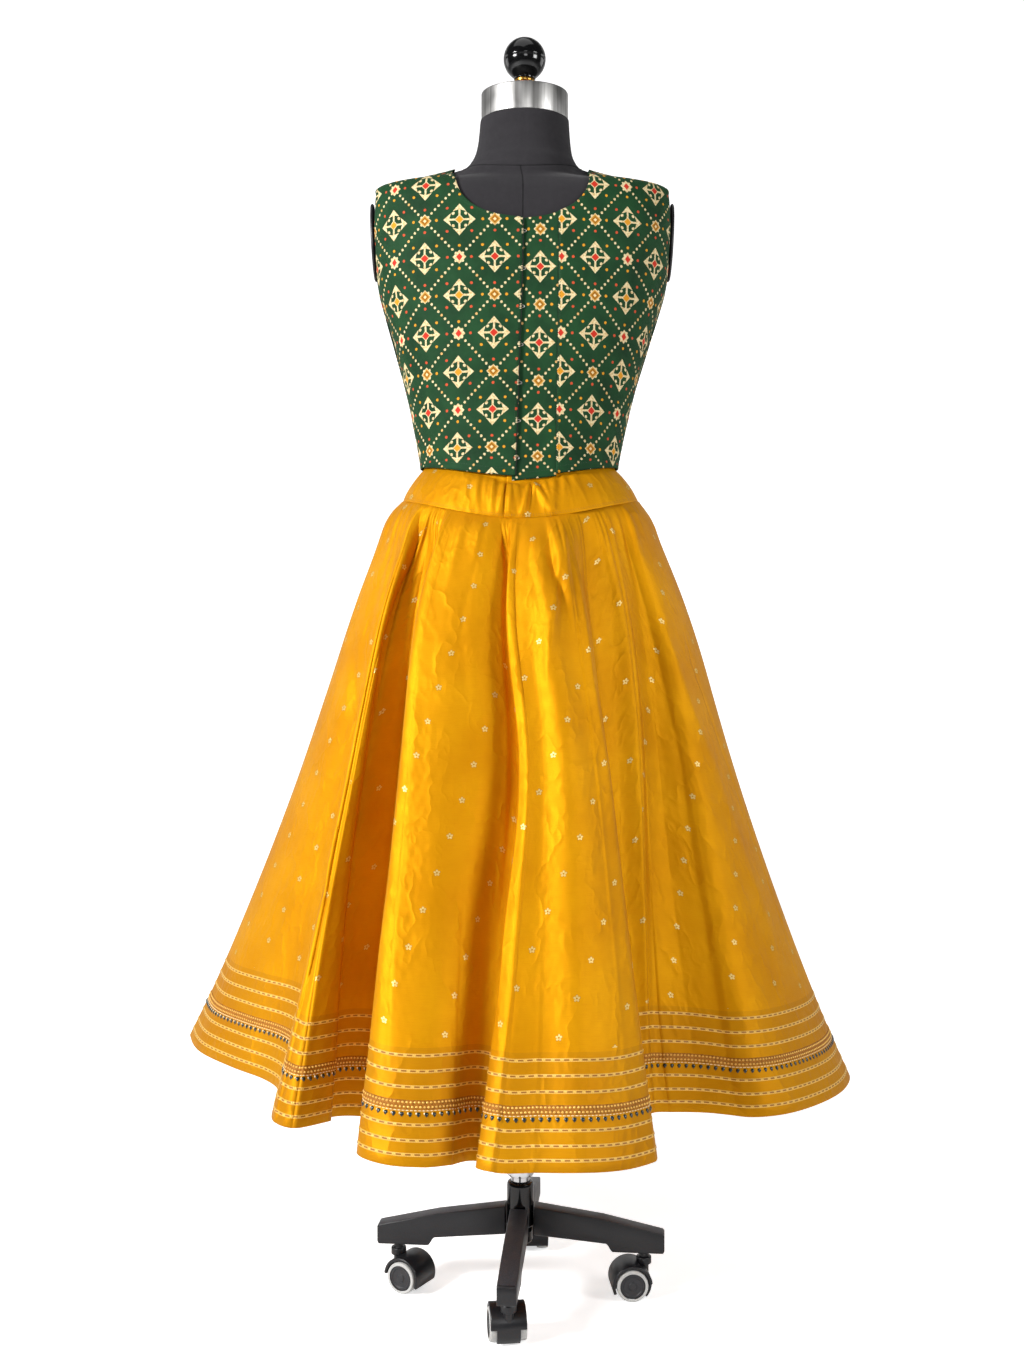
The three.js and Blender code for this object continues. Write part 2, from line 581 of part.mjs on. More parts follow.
function addStand() {
  add('pole', turned([[0, 141.4], [12.6, 141.4], [12.6, 805.7], [0, 805.7]], 20), materials.chrome);
  add('pole_collar', turned([[12.9, 149], [16.5, 149], [17, 162], [15.5, 165], [12.9, 165], [12.9, 149]], 20),
    materials.chrome);
  add('hub', turned([[0, 64], [15, 64], [17, 66], [17, 139.6], [15.6, 141], [0, 141]], 24), materials.blackGloss);
  const base = new THREE.Group();
  base.rotation.z = baseTurn * degrees;
  model.add(base);
  const places = [
    { name: 'front', turn: -90, swing: 12 }, { name: 'right', turn: 0, swing: 10 },
    { name: 'back', turn: 90, swing: 8 }, { name: 'left', turn: 180, swing: -25 },
  ];
  for (const place of places) {
    const arm = new THREE.Group();
    arm.rotation.z = place.turn * degrees;
    base.add(arm);
    add(`leg_${place.name}`, legGeometry(), materials.blackPlastic, arm);
    const castor = new THREE.Group();
    castor.position.set(stemReach, 0, 0);
    castor.rotation.z = place.swing * degrees;
    arm.add(castor);
    add(`castor_${place.name}`, castorFrame(), materials.blackPlastic, castor);
    const axleZ = wheelRadius * Math.cos(Math.PI / wheelSides);
    for (const [index, side] of [[1, -1], [2, 1]]) {
      const wheel = add(`wheel_${place.name}_${index}`, wheelGeometry(), materials.wheelGrey, castor);
      wheel.position.set(-stemOffset, side * (wheelInnerY + wheelWidth / 2), axleZ);
    }
  }
}

const easeAt = (z) => ramp(blouseEase, 'z', 'ease', z);

function onForm(bearing, z, ease) {
  const normal = formNormal(bearing, z);
  return { point: formPoint(bearing, z).addScaledVector(normal, ease), normal };
}

// shift of a point along the form's surface, to leave a seam's gap
function nudged(place, bearing, amount) {
  const along = new THREE.Vector3(Math.cos(bearing), Math.sin(bearing), 0);
  place.point.addScaledVector(along, amount);
  return place;
}

// x of the crisp edge of the left back at a height
function openingX(z) {
  const share = (z - backHemZ) / (backNeckZ - backHemZ);
  return openingHemX + (openingTopX - openingHemX) * Math.min(1, Math.max(0, share));
}

// half of the blouse between its centre edge and its side seam or armhole
function blouseHalf(rows, side, onBack, columns, centreX) {
  const first = onBack ? side > 0 : side < 0;
  const fullTurn = 2 * Math.PI;
  const paths = rows.map((row, j) => {
    const inner = row.x === 0 ? centreX(row.z) : side * row.x;
    const start = bearingAtX(inner, row.z, onBack);
    const end = row.depth === 0 ? side * 90 * degrees : bearingAtDepth(row.depth, row.sideZ, side, onBack);
    const from = onBack ? start : (start + fullTurn) % fullTurn;
    const to = onBack ? end : (end + fullTurn) % fullTurn;
    const place = (share) => {
      const bearing = from + (to - from) * share;
      const straight = rows[0].z + (rows[0].sideZ - rows[0].z) * share;
      const fade = Math.max(0, 1 - j / 6);
      const z = row.z + (row.sideZ - row.z) * share + (blouseHemZ(bearing) - straight) * fade;
      return { bearing, z };
    };
    const shares = evenShares((share) => formPoint(place(share).bearing, place(share).z), columns);
    return { place, shares };
  });
  return gridSurface(columns, rows.length, (i, j) => {
    const share = paths[j].shares[first ? i : columns - 1 - i];
    const { bearing, z } = paths[j].place(share);
    const place = onForm(bearing, z, easeAt(z) + (onBack ? 0 : bustEase * Math.exp(-(((z - 1205) / 50) ** 2))));
    const onSeam = rows[j].depth === 0 && (share > 0.999 || j === rows.length - 1);
    const gap = onSeam ? cloth.seamGap / 2 : 0;
    return nudged(place, bearing, (onBack ? -side : side) * gap);
  });
}

// rows of the blouse back from a centre edge that is not on the centre plane
function rowsFrom(edgeX) {
  return backRows.map((row) => {
    if (row.x >= edgeX || row.x === 0) return row;
    return { ...row, x: 0 };
  });
}

function addBlouse() {
  const columns = 11;
  const rightRows = rowsFrom(placketRightX).map((row) => (row.x === 0 && row.z > backNeckZ
    ? { ...row, z: neckZ(placketRightX) - (neckZ(40) - row.z) * 0.5 } : row));
  const left = blouseHalf(backRows, -1, true, columns, openingX);
  const right = blouseHalf(rightRows, 1, true, columns, () => placketRightX + cloth.seamGap / 2);
  add('choli_back_left', wallOver(left, cloth.blouse), materials.print);
  add('choli_back_right', wallOver(right, cloth.blouse), materials.print);
  const centre = () => 0;
  const front = joinSurfaces([
    blouseHalf(frontRows, 1, false, columns, centre),
    blouseHalf(frontRows, -1, false, columns, centre),
  ]);
  add('choli_front', wallOver(front, cloth.blouse), materials.print);
  add('choli_placket', wallOver(placketSurface(), cloth.placket), materials.print);
}

// height of the back neckline at a distance from the centre
function neckZ(x) {
  return lookUp(backRows.slice(10), 'x', 'z', Math.abs(x));
}

// strip that runs under the left back's edge and is sewn to the right back
function placketSurface() {
  const edges = [placketLeftX, 4, 17, 28, 36, placketRightX - cloth.seamGap / 2];
  const heights = backRows.slice(0, 11).map((row) => row.z);
  return gridSurface(edges.length, heights.length, (i, j) => {
    const x = edges[i];
    let z = heights[j];
    if (j === 0) z -= 6 - 6 * ((x - placketLeftX) / (placketRightX - placketLeftX));
    if (j === heights.length - 1) z = neckZ(x) - 0.6;
    const rise = Math.max(0, (x - 26) / (placketRightX - 26));
    const bearing = bearingAtX(x, z, true);
    return onForm(bearing, z, easeAt(z) - (cloth.placket + cloth.layerGap) * (1 - rise));
  });
}

const blouseHemZ = (bearing) => 1037 - (Math.cos(bearing) > 0 ? 17 : 12) * Math.cos(bearing) ** 2;
const seamZ = (bearing) => 996 - (Math.cos(bearing) > 0 ? 27 : 20) * Math.cos(bearing) ** 2;

function seamRadius(bearing) {
  const across = Math.abs(Math.sin(bearing)) / seamHalf;
  const along = Math.abs(Math.cos(bearing)) / seamDepth;
  return (across ** 2.2 + along ** 2.2) ** (-1 / 2.2);
}

// height down to which the yoke lies flat on the form; lower where the placket hangs over it
function yokeFlatZ(bearing) {
  const turn = bearing / (22 * degrees);
  return blouseHemZ(bearing) - 1 - 9.5 * Math.exp(-turn * turn);
}

function yokePoint(bearing, row) {
  const top = yokeFlatZ(bearing);
  if (row < 0) return onForm(bearing, top - row * 16, yokeEase).point;
  const bottom = seamZ(bearing) + cloth.seamGap;
  const waist = onForm(bearing, top, yokeEase).point;
  const radius = seamRadius(bearing);
  const seam = new THREE.Vector3(radius * Math.sin(bearing), -radius * Math.cos(bearing), bottom);
  const swell = row + 0.1 * Math.sin(Math.PI * row);
  const out = waist.clone().lerp(seam, swell);
  out.z = waist.z + (seam.z - waist.z) * row;
  return out;
}

function yokeHalf(from, to, columns, lift) {
  const levels = [1, 0.75, 0.5, 0.25, 0, -0.5, -1];
  return gridSurface(columns.length, levels.length, (i, j) => {
    const bearing = from + (to - from) * columns[i];
    const row = levels[j];
    const point = yokePoint(bearing, row);
    const along = yokePoint(bearing + 0.01, row).sub(yokePoint(bearing - 0.01, row));
    const up = yokePoint(bearing, row - 0.03).sub(yokePoint(bearing, Math.min(row + 0.03, 1)));
    const normal = along.cross(up);
    if (j === 0) normal.z = 0;
    normal.normalize();
    return { point: point.addScaledVector(normal, lift(point.x, point.y)), normal };
  });
}

function addYoke() {
  const level = 1010;
  const lapOver = bearingAtX(lapEdgeX, level, true);
  const lapUnder = bearingAtX(lapUnderX, level, true);
  const gap = 0.0016;
  const waistPath = (from, to) => (share) => yokePoint(from + (to - from) * share, 0);
  const lapEnd = 15 * degrees;
  const even = evenShares(waistPath(-Math.PI + gap, lapUnder), 21);
  const beyond = evenShares(waistPath(lapEnd, Math.PI - gap), 19);
  const spread = (share) => (lapEnd + (Math.PI - gap - lapEnd) * share - lapOver) / (Math.PI - gap - lapOver);
  const overlap = [0, spread(0) * 0.3, spread(0) * 0.55, spread(0) * 0.75, ...beyond.map(spread)];
  const lift = (x, y) => (y < 0 ? lapStep * Math.min(1, Math.max(0, (12 - x) / 11)) : 0);
  const right = yokeHalf(lapOver, Math.PI - gap, overlap, lift);
  const left = yokeHalf(-Math.PI + gap, lapUnder, even, () => 0);
  add('skirt_yoke_left', wallOver(left, cloth.yoke), materials.satin);
  add('skirt_yoke_right', wallOver(right, cloth.yoke), materials.satin);
}

// bearing of a fold line at a height share from the seam (0) to the hem (1)
function foldBearing(fold, s) {
  const at = (value) => (value === undefined ? fold.seam : value);
  const marks = [
    { s: 0, bearing: fold.seam }, { s: 0.15, bearing: at(fold.upper) }, { s: 0.4, bearing: at(fold.middle) },
    { s: 0.7, bearing: at(fold.lower) }, { s: 1, bearing: at(fold.hem) },
  ];
  return lookUp(marks, 's', 'bearing', s) * degrees;
}

// closed curve round the skirt at a height share from the seam (0) to the hem (1)
function skirtRing(s) {
  const open = lookUp(flare, 's', 'open', s);
  const depth = lookUp(flare, 's', 'fold', s);
  const points = folds.map((fold) => {
    const bearing = foldBearing(fold, s);
    const start = seamRadius(bearing);
    const lift = (fold.lift || 0) * Math.sin(Math.PI * Math.min(1, Math.max(0, s)));
    const radius = start + (hemMean - start) * open + depth * (fold.radius - hemMean) + lift;
    const hemX = fold.radius * Math.sin(foldBearing(fold, 1));
    const top = seamZ(foldBearing(fold, 0));
    const z = top + (hemLevel - hemTilt * hemX - top) * s;
    return new THREE.Vector3(radius * Math.sin(bearing), -radius * Math.cos(bearing), z);
  });
  return new THREE.CatmullRomCurve3(points, true, 'centripetal');
}

const skirtLevels = [1, 0.89, 0.77, 0.64, 0.5, 0.36, 0.23, 0.12, 0.04, 0];
const foldCount = folds.length;
const rings = skirtLevels.map((s) => ({
  at: skirtRing(s), above: skirtRing(s - 0.01), below: skirtRing(s + 0.01),
}));

function ringPoint(curve, k) {
  const share = k / foldCount;
  return curve.getPoint(share - Math.floor(share));
}

function skirtPanel(from, to) {
  const stations = [];
  for (let k = from; k < to; k += 1) {
    stations.push(k, k + 0.5);
  }
  stations.push(to);
  return gridSurface(stations.length, skirtLevels.length, (i, j) => {
    const k = stations[i];
    const { at, above, below } = rings[j];
    const point = ringPoint(at, k);
    const along = ringPoint(at, k + 0.06).sub(ringPoint(at, k - 0.06));
    const up = ringPoint(above, k).sub(ringPoint(below, k));
    const normal = along.clone().cross(up);
    if (j === skirtLevels.length - 1) normal.z = 0;
    normal.normalize();
    along.normalize();
    if (i === 0) point.addScaledVector(along, cloth.seamGap / 2);
    if (i === stations.length - 1) point.addScaledVector(along, -cloth.seamGap / 2);
    return { point, normal };
  });
}

function addSkirt() {
  const seams = folds.map((fold, k) => (fold.seamHere ? k : -1)).filter((k) => k >= 0);
  seams.forEach((start, n) => {
    const end = n + 1 < seams.length ? seams[n + 1] : seams[0] + foldCount;
    add(`skirt_panel_${n + 1}`, wallOver(skirtPanel(start, end), cloth.skirt), materials.satin);
  });
}

addForm();
addStand();
addBlouse();
addYoke();
addSkirt();

export default model;
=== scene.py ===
# Two-piece lehenga set on a limbless dress form with a castor base.
# +Z up, the hooked back of the blouse faces -Y.
# Shapes are worked out in millimetres and turned into metres where a mesh is made.
import math

import bpy
import numpy as np
from mathutils import Matrix, Vector


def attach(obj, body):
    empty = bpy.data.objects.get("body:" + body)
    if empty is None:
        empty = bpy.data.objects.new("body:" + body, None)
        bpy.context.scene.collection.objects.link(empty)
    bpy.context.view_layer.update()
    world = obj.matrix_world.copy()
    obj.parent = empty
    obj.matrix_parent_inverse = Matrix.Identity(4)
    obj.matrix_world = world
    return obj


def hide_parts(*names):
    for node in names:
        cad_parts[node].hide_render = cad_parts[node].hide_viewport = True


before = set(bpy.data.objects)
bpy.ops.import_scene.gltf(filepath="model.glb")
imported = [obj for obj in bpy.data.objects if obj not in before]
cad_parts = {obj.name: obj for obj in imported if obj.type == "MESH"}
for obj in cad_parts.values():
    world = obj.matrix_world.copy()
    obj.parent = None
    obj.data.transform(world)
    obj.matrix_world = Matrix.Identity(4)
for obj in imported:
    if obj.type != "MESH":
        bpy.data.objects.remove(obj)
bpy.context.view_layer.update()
rootBody = "set_on_form"

cameraSet = {"place": (-0.0106, -1.975, 0.850), "tilt": 2.265, "lens": 1580 / 1365 * 36, "sensor": 36}


def addCamera():
    data = bpy.data.cameras.new("camera")
    data.sensor_fit = "VERTICAL"
    data.sensor_height = cameraSet["sensor"]
    data.lens = cameraSet["lens"]
    data.clip_end = 60
    camera = bpy.data.objects.new("camera", data)
    camera.location = cameraSet["place"]
    camera.rotation_euler = (math.radians(90 - cameraSet["tilt"]), 0, 0)
    bpy.context.scene.collection.objects.link(camera)
    bpy.context.scene.camera = camera


addCamera()
print("camera placed")


def smooth(xs, ys, x):  # smooth curve through a table's points
    xs, ys, x = (np.asarray(v, float) for v in (xs, ys, x))
    i = np.searchsorted(xs[1:-1], x, side="left")
    width = np.diff(xs)
    slope = np.diff(ys) / width
    here = slope[i]
    before = np.where(i > 0, (slope[np.maximum(i - 1, 0)] + here) / 2, here)
    after = np.where(i < len(slope) - 1, (slope[np.minimum(i + 1, len(slope) - 1)] + here) / 2, here)
    t = np.clip((x - xs[i]) / width[i], 0, 1)
    t2, t3 = t * t, t * t * t
    return (ys[i] * (2 * t3 - 3 * t2 + 1) + ys[i + 1] * (3 * t2 - 2 * t3)
            + width[i] * (before * (t3 - 2 * t2 + t) + after * (t3 - t2)))


# height, half width, depth to the back, depth to the front, squareness, sideways lean, radius of the neck
formSections = np.array([
    (806, 160, 110, 108, 2.2, 0, 20), (826, 167, 114, 113, 2.2, 0, 20), (870, 166, 114, 112, 2.2, 0, 20),
    (920, 157, 110, 106, 2.2, 0, 20), (969, 141, 102, 99, 2.2, -0.5, 20), (1000, 128, 94, 95, 2.2, -1, 20),
    (1022, 119, 88.5, 92, 2.2, -1.5, 20), (1037, 116, 87, 91.5, 2.2, -1.5, 20),
    (1052, 118.5, 87.5, 92.5, 2.2, -1.4, 20), (1077, 124.5, 90, 96, 2.25, -1, 20),
    (1107, 131.8, 93, 101, 2.3, -0.5, 20), (1137, 139.2, 96, 108, 2.4, 0, 20),
    (1166, 146.6, 99, 114, 2.5, 0.5, 20), (1196, 154.5, 101, 119, 2.55, 1, 20),
    (1225, 163.7, 102, 120, 2.6, 1.5, 20), (1254, 172.6, 102, 117, 2.65, 1.8, 20),
    (1284, 176.6, 101, 111, 2.7, 2, 20), (1313, 179.4, 98.5, 103, 2.65, 2, 20),
    (1342, 181, 93.5, 91, 2.55, 2, 30), (1366, 180.5, 85.5, 79, 2.3, 2, 58),
    (1377, 177.5, 76, 70, 2, 1.6, 68), (1383, 165, 66, 61, 1.65, 0.6, 72),
    (1388, 144, 54, 49.5, 1.35, -0.4, 72.8), (1393, 122, 42, 39, 1.25, -0.8, 71.8),
    (1398, 102, 32, 30, 1.2, -0.4, 69.8), (1402, 85, 28, 26, 1.3, 1.4, 67.8),
    (1408, 64, 28, 26, 1.6, 2.8, 65.6), (1417, 50, 30, 28, 2, 3.5, 61.2), (1432, 30, 25, 25, 2, 4.4, 57.6),
    (1463.6, 30, 25, 25, 2, 5, 54.5),
])
neckBlend = 12


def sectionAt(z):
    return [smooth(formSections[:, 0], formSections[:, c], z) for c in range(1, 7)]


def formPoint(bearing, z):  # bearing in radians from -Y towards +X
    bearing, z = np.broadcast_arrays(np.asarray(bearing, float), np.asarray(z, float))
    half, back, front, power, shift, neck = sectionAt(z)
    sin, cos = np.sin(bearing), np.cos(bearing)
    depth = np.where(cos > 0, back, front)
    radius = ((np.abs(sin) / half) ** power + (np.abs(cos) / depth) ** power) ** (-1 / power)
    radius = (radius ** neckBlend + neck ** neckBlend) ** (1 / neckBlend)
    side, level = (np.abs(radius * sin) - 76) / 44, (z - 1208) / 46
    radius = radius + np.where(cos < 0, 17 * np.exp(-side * side - level * level), 0)
    return np.stack([radius * sin + shift, -radius * cos, z], -1)


def unit(v):
    return v / np.maximum(np.linalg.norm(v, axis=-1, keepdims=True), 1e-9)


def runAlong(points, axis=0):  # length run so far along a line of points or one way of a grid
    steps = np.linalg.norm(np.diff(points, axis=axis), axis=-1)
    start = np.zeros_like(np.take(steps, [0], axis=axis))
    return np.concatenate([start, np.cumsum(steps, axis=axis)], axis)


def formNormal(bearing, z):
    bearing, z = np.broadcast_arrays(np.asarray(bearing, float), np.asarray(z, float))
    along = formPoint(bearing + 0.01, z) - formPoint(bearing - 0.01, z)
    up = formPoint(bearing, z + 0.5) - formPoint(bearing, z - 0.5)
    return unit(np.cross(along, up))


def onForm(bearing, z, ease):
    return formPoint(bearing, z) + formNormal(bearing, z) * np.asarray(ease, float)[..., None]


def bearingAtX(x, z, onBack):
    half, back, front, power = sectionAt(z)[:4]
    depth = back if onBack else front
    share = np.minimum(1, np.abs(x) / half)
    y = depth * (1 - share ** power) ** (1 / power)
    return np.arctan2(x, y if onBack else -y)


def bearingAtDepth(depth, z, side, onBack):
    half, back, front, power = sectionAt(z)[:4]
    full = back if onBack else front
    x = half * (1 - (depth / full) ** power) ** (1 / power)
    return np.arctan2(side * x, depth if onBack else -depth)


def finishObject(name, mesh, material, body=rootBody, stands=()):
    mesh.polygons.foreach_set("use_smooth", [True] * len(mesh.polygons))
    obj = bpy.data.objects.new(name, mesh)
    bpy.context.scene.collection.objects.link(obj)
    for entry in material if isinstance(material, (list, tuple)) else [material]:
        mesh.materials.append(entry)
    if body:
        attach(obj, body)
    if stands:
        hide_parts(*stands)
    return obj


def meshFrom(name, points, faces, uv=None, slots=None):  # points in millimetres
    mesh = bpy.data.meshes.new(name)
    mesh.from_pydata((np.asarray(points, float) / 1000).tolist(), [], [list(map(int, f)) for f in faces])
    if uv is not None:
        layer = mesh.uv_layers.new(name="cut")
        corners = np.zeros(len(mesh.loops), np.int32)
        mesh.loops.foreach_get("vertex_index", corners)
        layer.data.foreach_set("uv", (np.asarray(uv, float)[corners] / 1000).astype(np.float32).ravel())
    if slots is not None:
        mesh.polygons.foreach_set("material_index", np.asarray(slots, np.int32))
    mesh.validate(clean_customdata=False)
    mesh.update()
    return mesh


def gridFaces(rows, columns, start=0, flip=False, closed=False):
    i = np.arange(columns if closed else columns - 1)
    j = np.arange(rows - 1)
    a = (start + j[:, None] * columns + i[None, :]).ravel()
    b = (start + j[:, None] * columns + ((i + 1) % columns)[None, :]).ravel()
    quads = np.stack([a, b, b + columns, a + columns], 1)
    return quads[:, ::-1] if flip else quads


def gridNormals(points, closed=False):  # rows run upwards, columns towards +X as seen from -Y
    if closed:
        along = np.roll(points, -1, 1) - np.roll(points, 1, 1)
    else:
        along = np.gradient(points, axis=1)
    return unit(np.cross(along, np.gradient(points, axis=0)))


def shellMesh(name, inner, outer, uv, push=0.35, slot=None):  # thin cloth wall with rounded rims
    rows, columns = inner.shape[:2]
    count = rows * columns
    points = [outer.reshape(-1, 3), inner.reshape(-1, 3)]
    uvs = [uv.reshape(-1, 2), uv.reshape(-1, 2)]
    index = np.arange(count).reshape(rows, columns)
    top = [index[-1, :0:-1]]
    if slot:  # open from the top edge down to a row, between two columns
        column, row = slot
        index[:row + 1, column + 1] = index[:row + 1, column]
        top = [index[-1, :column:-1], index[-2:row:-1, column + 1],
               index[row:-1, column], index[-1, column:0:-1]]
    quads = np.stack([index[:-1, :-1], index[:-1, 1:], index[1:, 1:], index[1:, :-1]], -1)
    if slot:
        quads = np.delete(quads, slot[0], 1)
    quads = quads.reshape(-1, 4)
    faces = [quads, quads[:, ::-1] + count]
    ring = np.concatenate([index[0, :-1], index[:-1, -1], *top, index[:0:-1, 0]])
    ring = ring[ring != np.roll(ring, 1)]
    flatOuter, flatInner = outer.reshape(-1, 3), inner.reshape(-1, 3)
    middle = (flatOuter[ring] + flatInner[ring]) / 2
    tangent = np.roll(middle, -1, 0) - np.roll(middle, 1, 0)
    out = unit(np.cross(tangent, flatOuter[ring] - flatInner[ring]))
    points.append(middle + out * push)
    uvs.append(uv.reshape(-1, 2)[ring])
    rim = np.arange(len(ring)) + 2 * count
    after = np.roll(rim, -1)
    ringAfter = np.roll(ring, -1)
    faces.append(np.stack([ringAfter, ring, rim, after], 1))
    faces.append(np.stack([after, rim, ring + count, ringAfter + count], 1))
    faces, points, uvs = np.concatenate(faces), np.concatenate(points), np.concatenate(uvs)
    used, faces = np.unique(faces, return_inverse=True)
    return meshFrom(name, points[used], faces.reshape(-1, 4), uvs[used])


def sheetArea(points):  # one layer, square metres
    a = points[1:, 1:] - points[:-1, :-1]
    b = points[1:, :-1] - points[:-1, 1:]
    return float(np.linalg.norm(np.cross(a, b), axis=-1).sum() / 2 / 1e6)


def rounded(profile, radius, steps=3):  # profile with its inner corners rounded
    profile = [np.array(p, float) for p in profile]
    out = [profile[0]]
    for before, here, after in zip(profile, profile[1:], profile[2:]):
        a, b = before - here, after - here
        r = min(radius, np.linalg.norm(a) * 0.45, np.linalg.norm(b) * 0.45)
        start, end = here + unit(a) * r, here + unit(b) * r
        for i in range(steps + 1):
            t = i / steps
            out.append(start * (1 - t) ** 2 + 2 * here * t * (1 - t) + end * t * t)
    out.append(profile[-1])
    return np.array(out)


def turnedMesh(name, profile, segments=96, centre=(0, 0)):  # (radius, z) points from the bottom up
    profile = np.asarray(profile, float)
    angles = np.linspace(0, 2 * math.pi, segments, endpoint=False)
    ring = np.stack([np.cos(angles), np.sin(angles)], -1)
    points = np.zeros((len(profile), segments, 3))
    points[..., :2] = profile[:, None, :1] * ring[None] + np.asarray(centre, float)
    points[..., 2] = profile[:, 1:]
    length = runAlong(profile)
    uv = np.stack(np.broadcast_arrays(angles[None] * 1000, length[:, None]), -1)
    faces = gridFaces(len(profile), segments, closed=True)
    return meshFrom(name, points.reshape(-1, 3), faces, uv.reshape(-1, 2))


def tubeAlong(paths, radius, sides, normals):  # points, faces and uv of tubes along open paths
    points, faces, uvs, base = [], [], [], 0
    for n, path in enumerate(paths):
        path = np.asarray(path, float)
        tangent = unit(np.gradient(path, axis=0))
        side = unit(np.cross(tangent, normals[n]))
        up = unit(np.cross(side, tangent))
        angle = np.linspace(0, 2 * math.pi, sides, endpoint=False)
        cos, sin = np.cos(angle)[None, :, None], np.sin(angle)[None, :, None]
        ring = side[:, None] * cos + up[:, None] * sin
        points.append((path[:, None] + ring * radius).reshape(-1, 3))
        length = runAlong(path)
        uvs.append(np.stack(np.broadcast_arrays(length[:, None], angle[None] * radius), -1).reshape(-1, 2))
        faces.append(gridFaces(len(path), sides, base, closed=True)[:, ::-1].tolist())
        faces.append([[base + i for i in range(sides)]])
        faces.append([[base + (len(path) - 1) * sides + i for i in reversed(range(sides))]])
        base += len(path) * sides
    return np.concatenate(points), [f for group in faces for f in group], np.concatenate(uvs)


class Web:  # short hands for building a node tree
    def __init__(self, tree):
        self.tree = tree

    def node(self, kind, inputs=(), **settings):
        made = self.tree.nodes.new(kind)
        for key, value in settings.items():
            setattr(made, key, value)
        for key, value in dict(inputs).items():
            self.feed(made.inputs[key], value)
        return made

    def feed(self, socket, value):
        if isinstance(value, bpy.types.NodeSocket):
            self.tree.links.new(value, socket)
        elif value is not None:
            socket.default_value = value

    def math(self, kind, *values):
        made = self.node("ShaderNodeMath", operation=kind)
        for socket, value in zip(made.inputs, values):
            self.feed(socket, value)
        return made.outputs[0]

    def add(self, a, b):
        return self.math("ADD", a, b)

    def sub(self, a, b):
        return self.math("SUBTRACT", a, b)

    def mul(self, a, b):
        return self.math("MULTIPLY", a, b)

    def less(self, a, b):
        return self.math("LESS_THAN", a, b)

    def more(self, a, b):
        return self.math("GREATER_THAN", a, b)

    def both(self, a, b):
        return self.math("MINIMUM", a, b)

    def either(self, *masks):
        out = masks[0]
        for mask in masks[1:]:
            out = self.math("MAXIMUM", out, mask)
        return out

    def length(self, a, b):
        return self.math("SQRT", self.add(self.mul(a, a), self.mul(b, b)))

    def mix(self, share, a, b):
        made = self.node("ShaderNodeMix", data_type="RGBA")
        self.feed(made.inputs[0], share)
        self.feed(made.inputs[6], a)
        self.feed(made.inputs[7], b)
        return made.outputs[2]

    def fit(self, value, a, b, c, d):  # a to b mapped to c to d
        return self.node("ShaderNodeMapRange", {0: value, 1: a, 2: b, 3: c, 4: d}).outputs[0]

    def noise(self, vector, scale, detail=2.0, rough=0.5, vectorOut=False):
        values = {"Vector": vector, "Scale": scale, "Detail": detail, "Roughness": rough}
        return self.node("ShaderNodeTexNoise", values).outputs["Color" if vectorOut else "Fac"]

    def place(self):  # position on the object, metres
        return self.node("ShaderNodeTexCoord").outputs["Object"]

    def cut(self):  # position on the flat cut cloth, metres
        return self.node("ShaderNodeUVMap", uv_map="cut").outputs[0]

    def vector(self, kind, inputs):
        return self.node("ShaderNodeVectorMath", inputs, operation=kind).outputs[0]

    def split(self, vector):
        made = self.node("ShaderNodeSeparateXYZ", {0: vector})
        return made.outputs[0], made.outputs[1], made.outputs[2]

    def join(self, x, y, z=0.0):
        return self.node("ShaderNodeCombineXYZ", {0: x, 1: y, 2: z}).outputs[0]

    def bump(self, height, strength, distance, normal=None):
        made = self.node("ShaderNodeBump", {"Height": height, "Strength": strength, "Distance": distance})
        if normal is not None:
            self.feed(made.inputs["Normal"], normal)
        return made.outputs[0]

    def use(self, group, **inputs):
        made = self.tree.nodes.new("ShaderNodeGroup")
        made.node_tree = group
        for key, value in inputs.items():
            self.feed(made.inputs[key], value)
        return made.outputs


def linear(r, g, b):  # screen colour 0-255 to a linear colour
    def one(v):
        v /= 255
        return v / 12.92 if v <= 0.04045 else ((v + 0.055) / 1.055) ** 2.4
    return (one(r), one(g), one(b), 1)


def newGroup(name, inputs, outputs):
    tree = bpy.data.node_groups.new(name, "ShaderNodeTree")
    kinds = {"value": "NodeSocketFloat", "vector": "NodeSocketVector", "color": "NodeSocketColor"}
    for key, kind in inputs.items():
        tree.interface.new_socket(name=key, in_out="INPUT", socket_type=kinds[kind])
    for key, kind in outputs.items():
        tree.interface.new_socket(name=key, in_out="OUTPUT", socket_type=kinds[kind])
    return Web(tree), tree.nodes.new("NodeGroupInput").outputs, tree.nodes.new("NodeGroupOutput").inputs


def newMaterial(name, **constants):
    material = bpy.data.materials.new(name)
    material.use_nodes = True
    shader = material.node_tree.nodes["Principled BSDF"]
    for key, value in constants.items():
        shader.inputs[socketNames[key]].default_value = value
    return material, Web(material.node_tree), shader.inputs


socketNames = {
    "rough": "Roughness", "metal": "Metallic", "specular": "Specular IOR Level", "tint": "Specular Tint",
    "sheen": "Sheen Weight", "sheenRough": "Sheen Roughness", "coat": "Coat Weight", "coatRough": "Coat Roughness",
    "aniso": "Anisotropic",
}

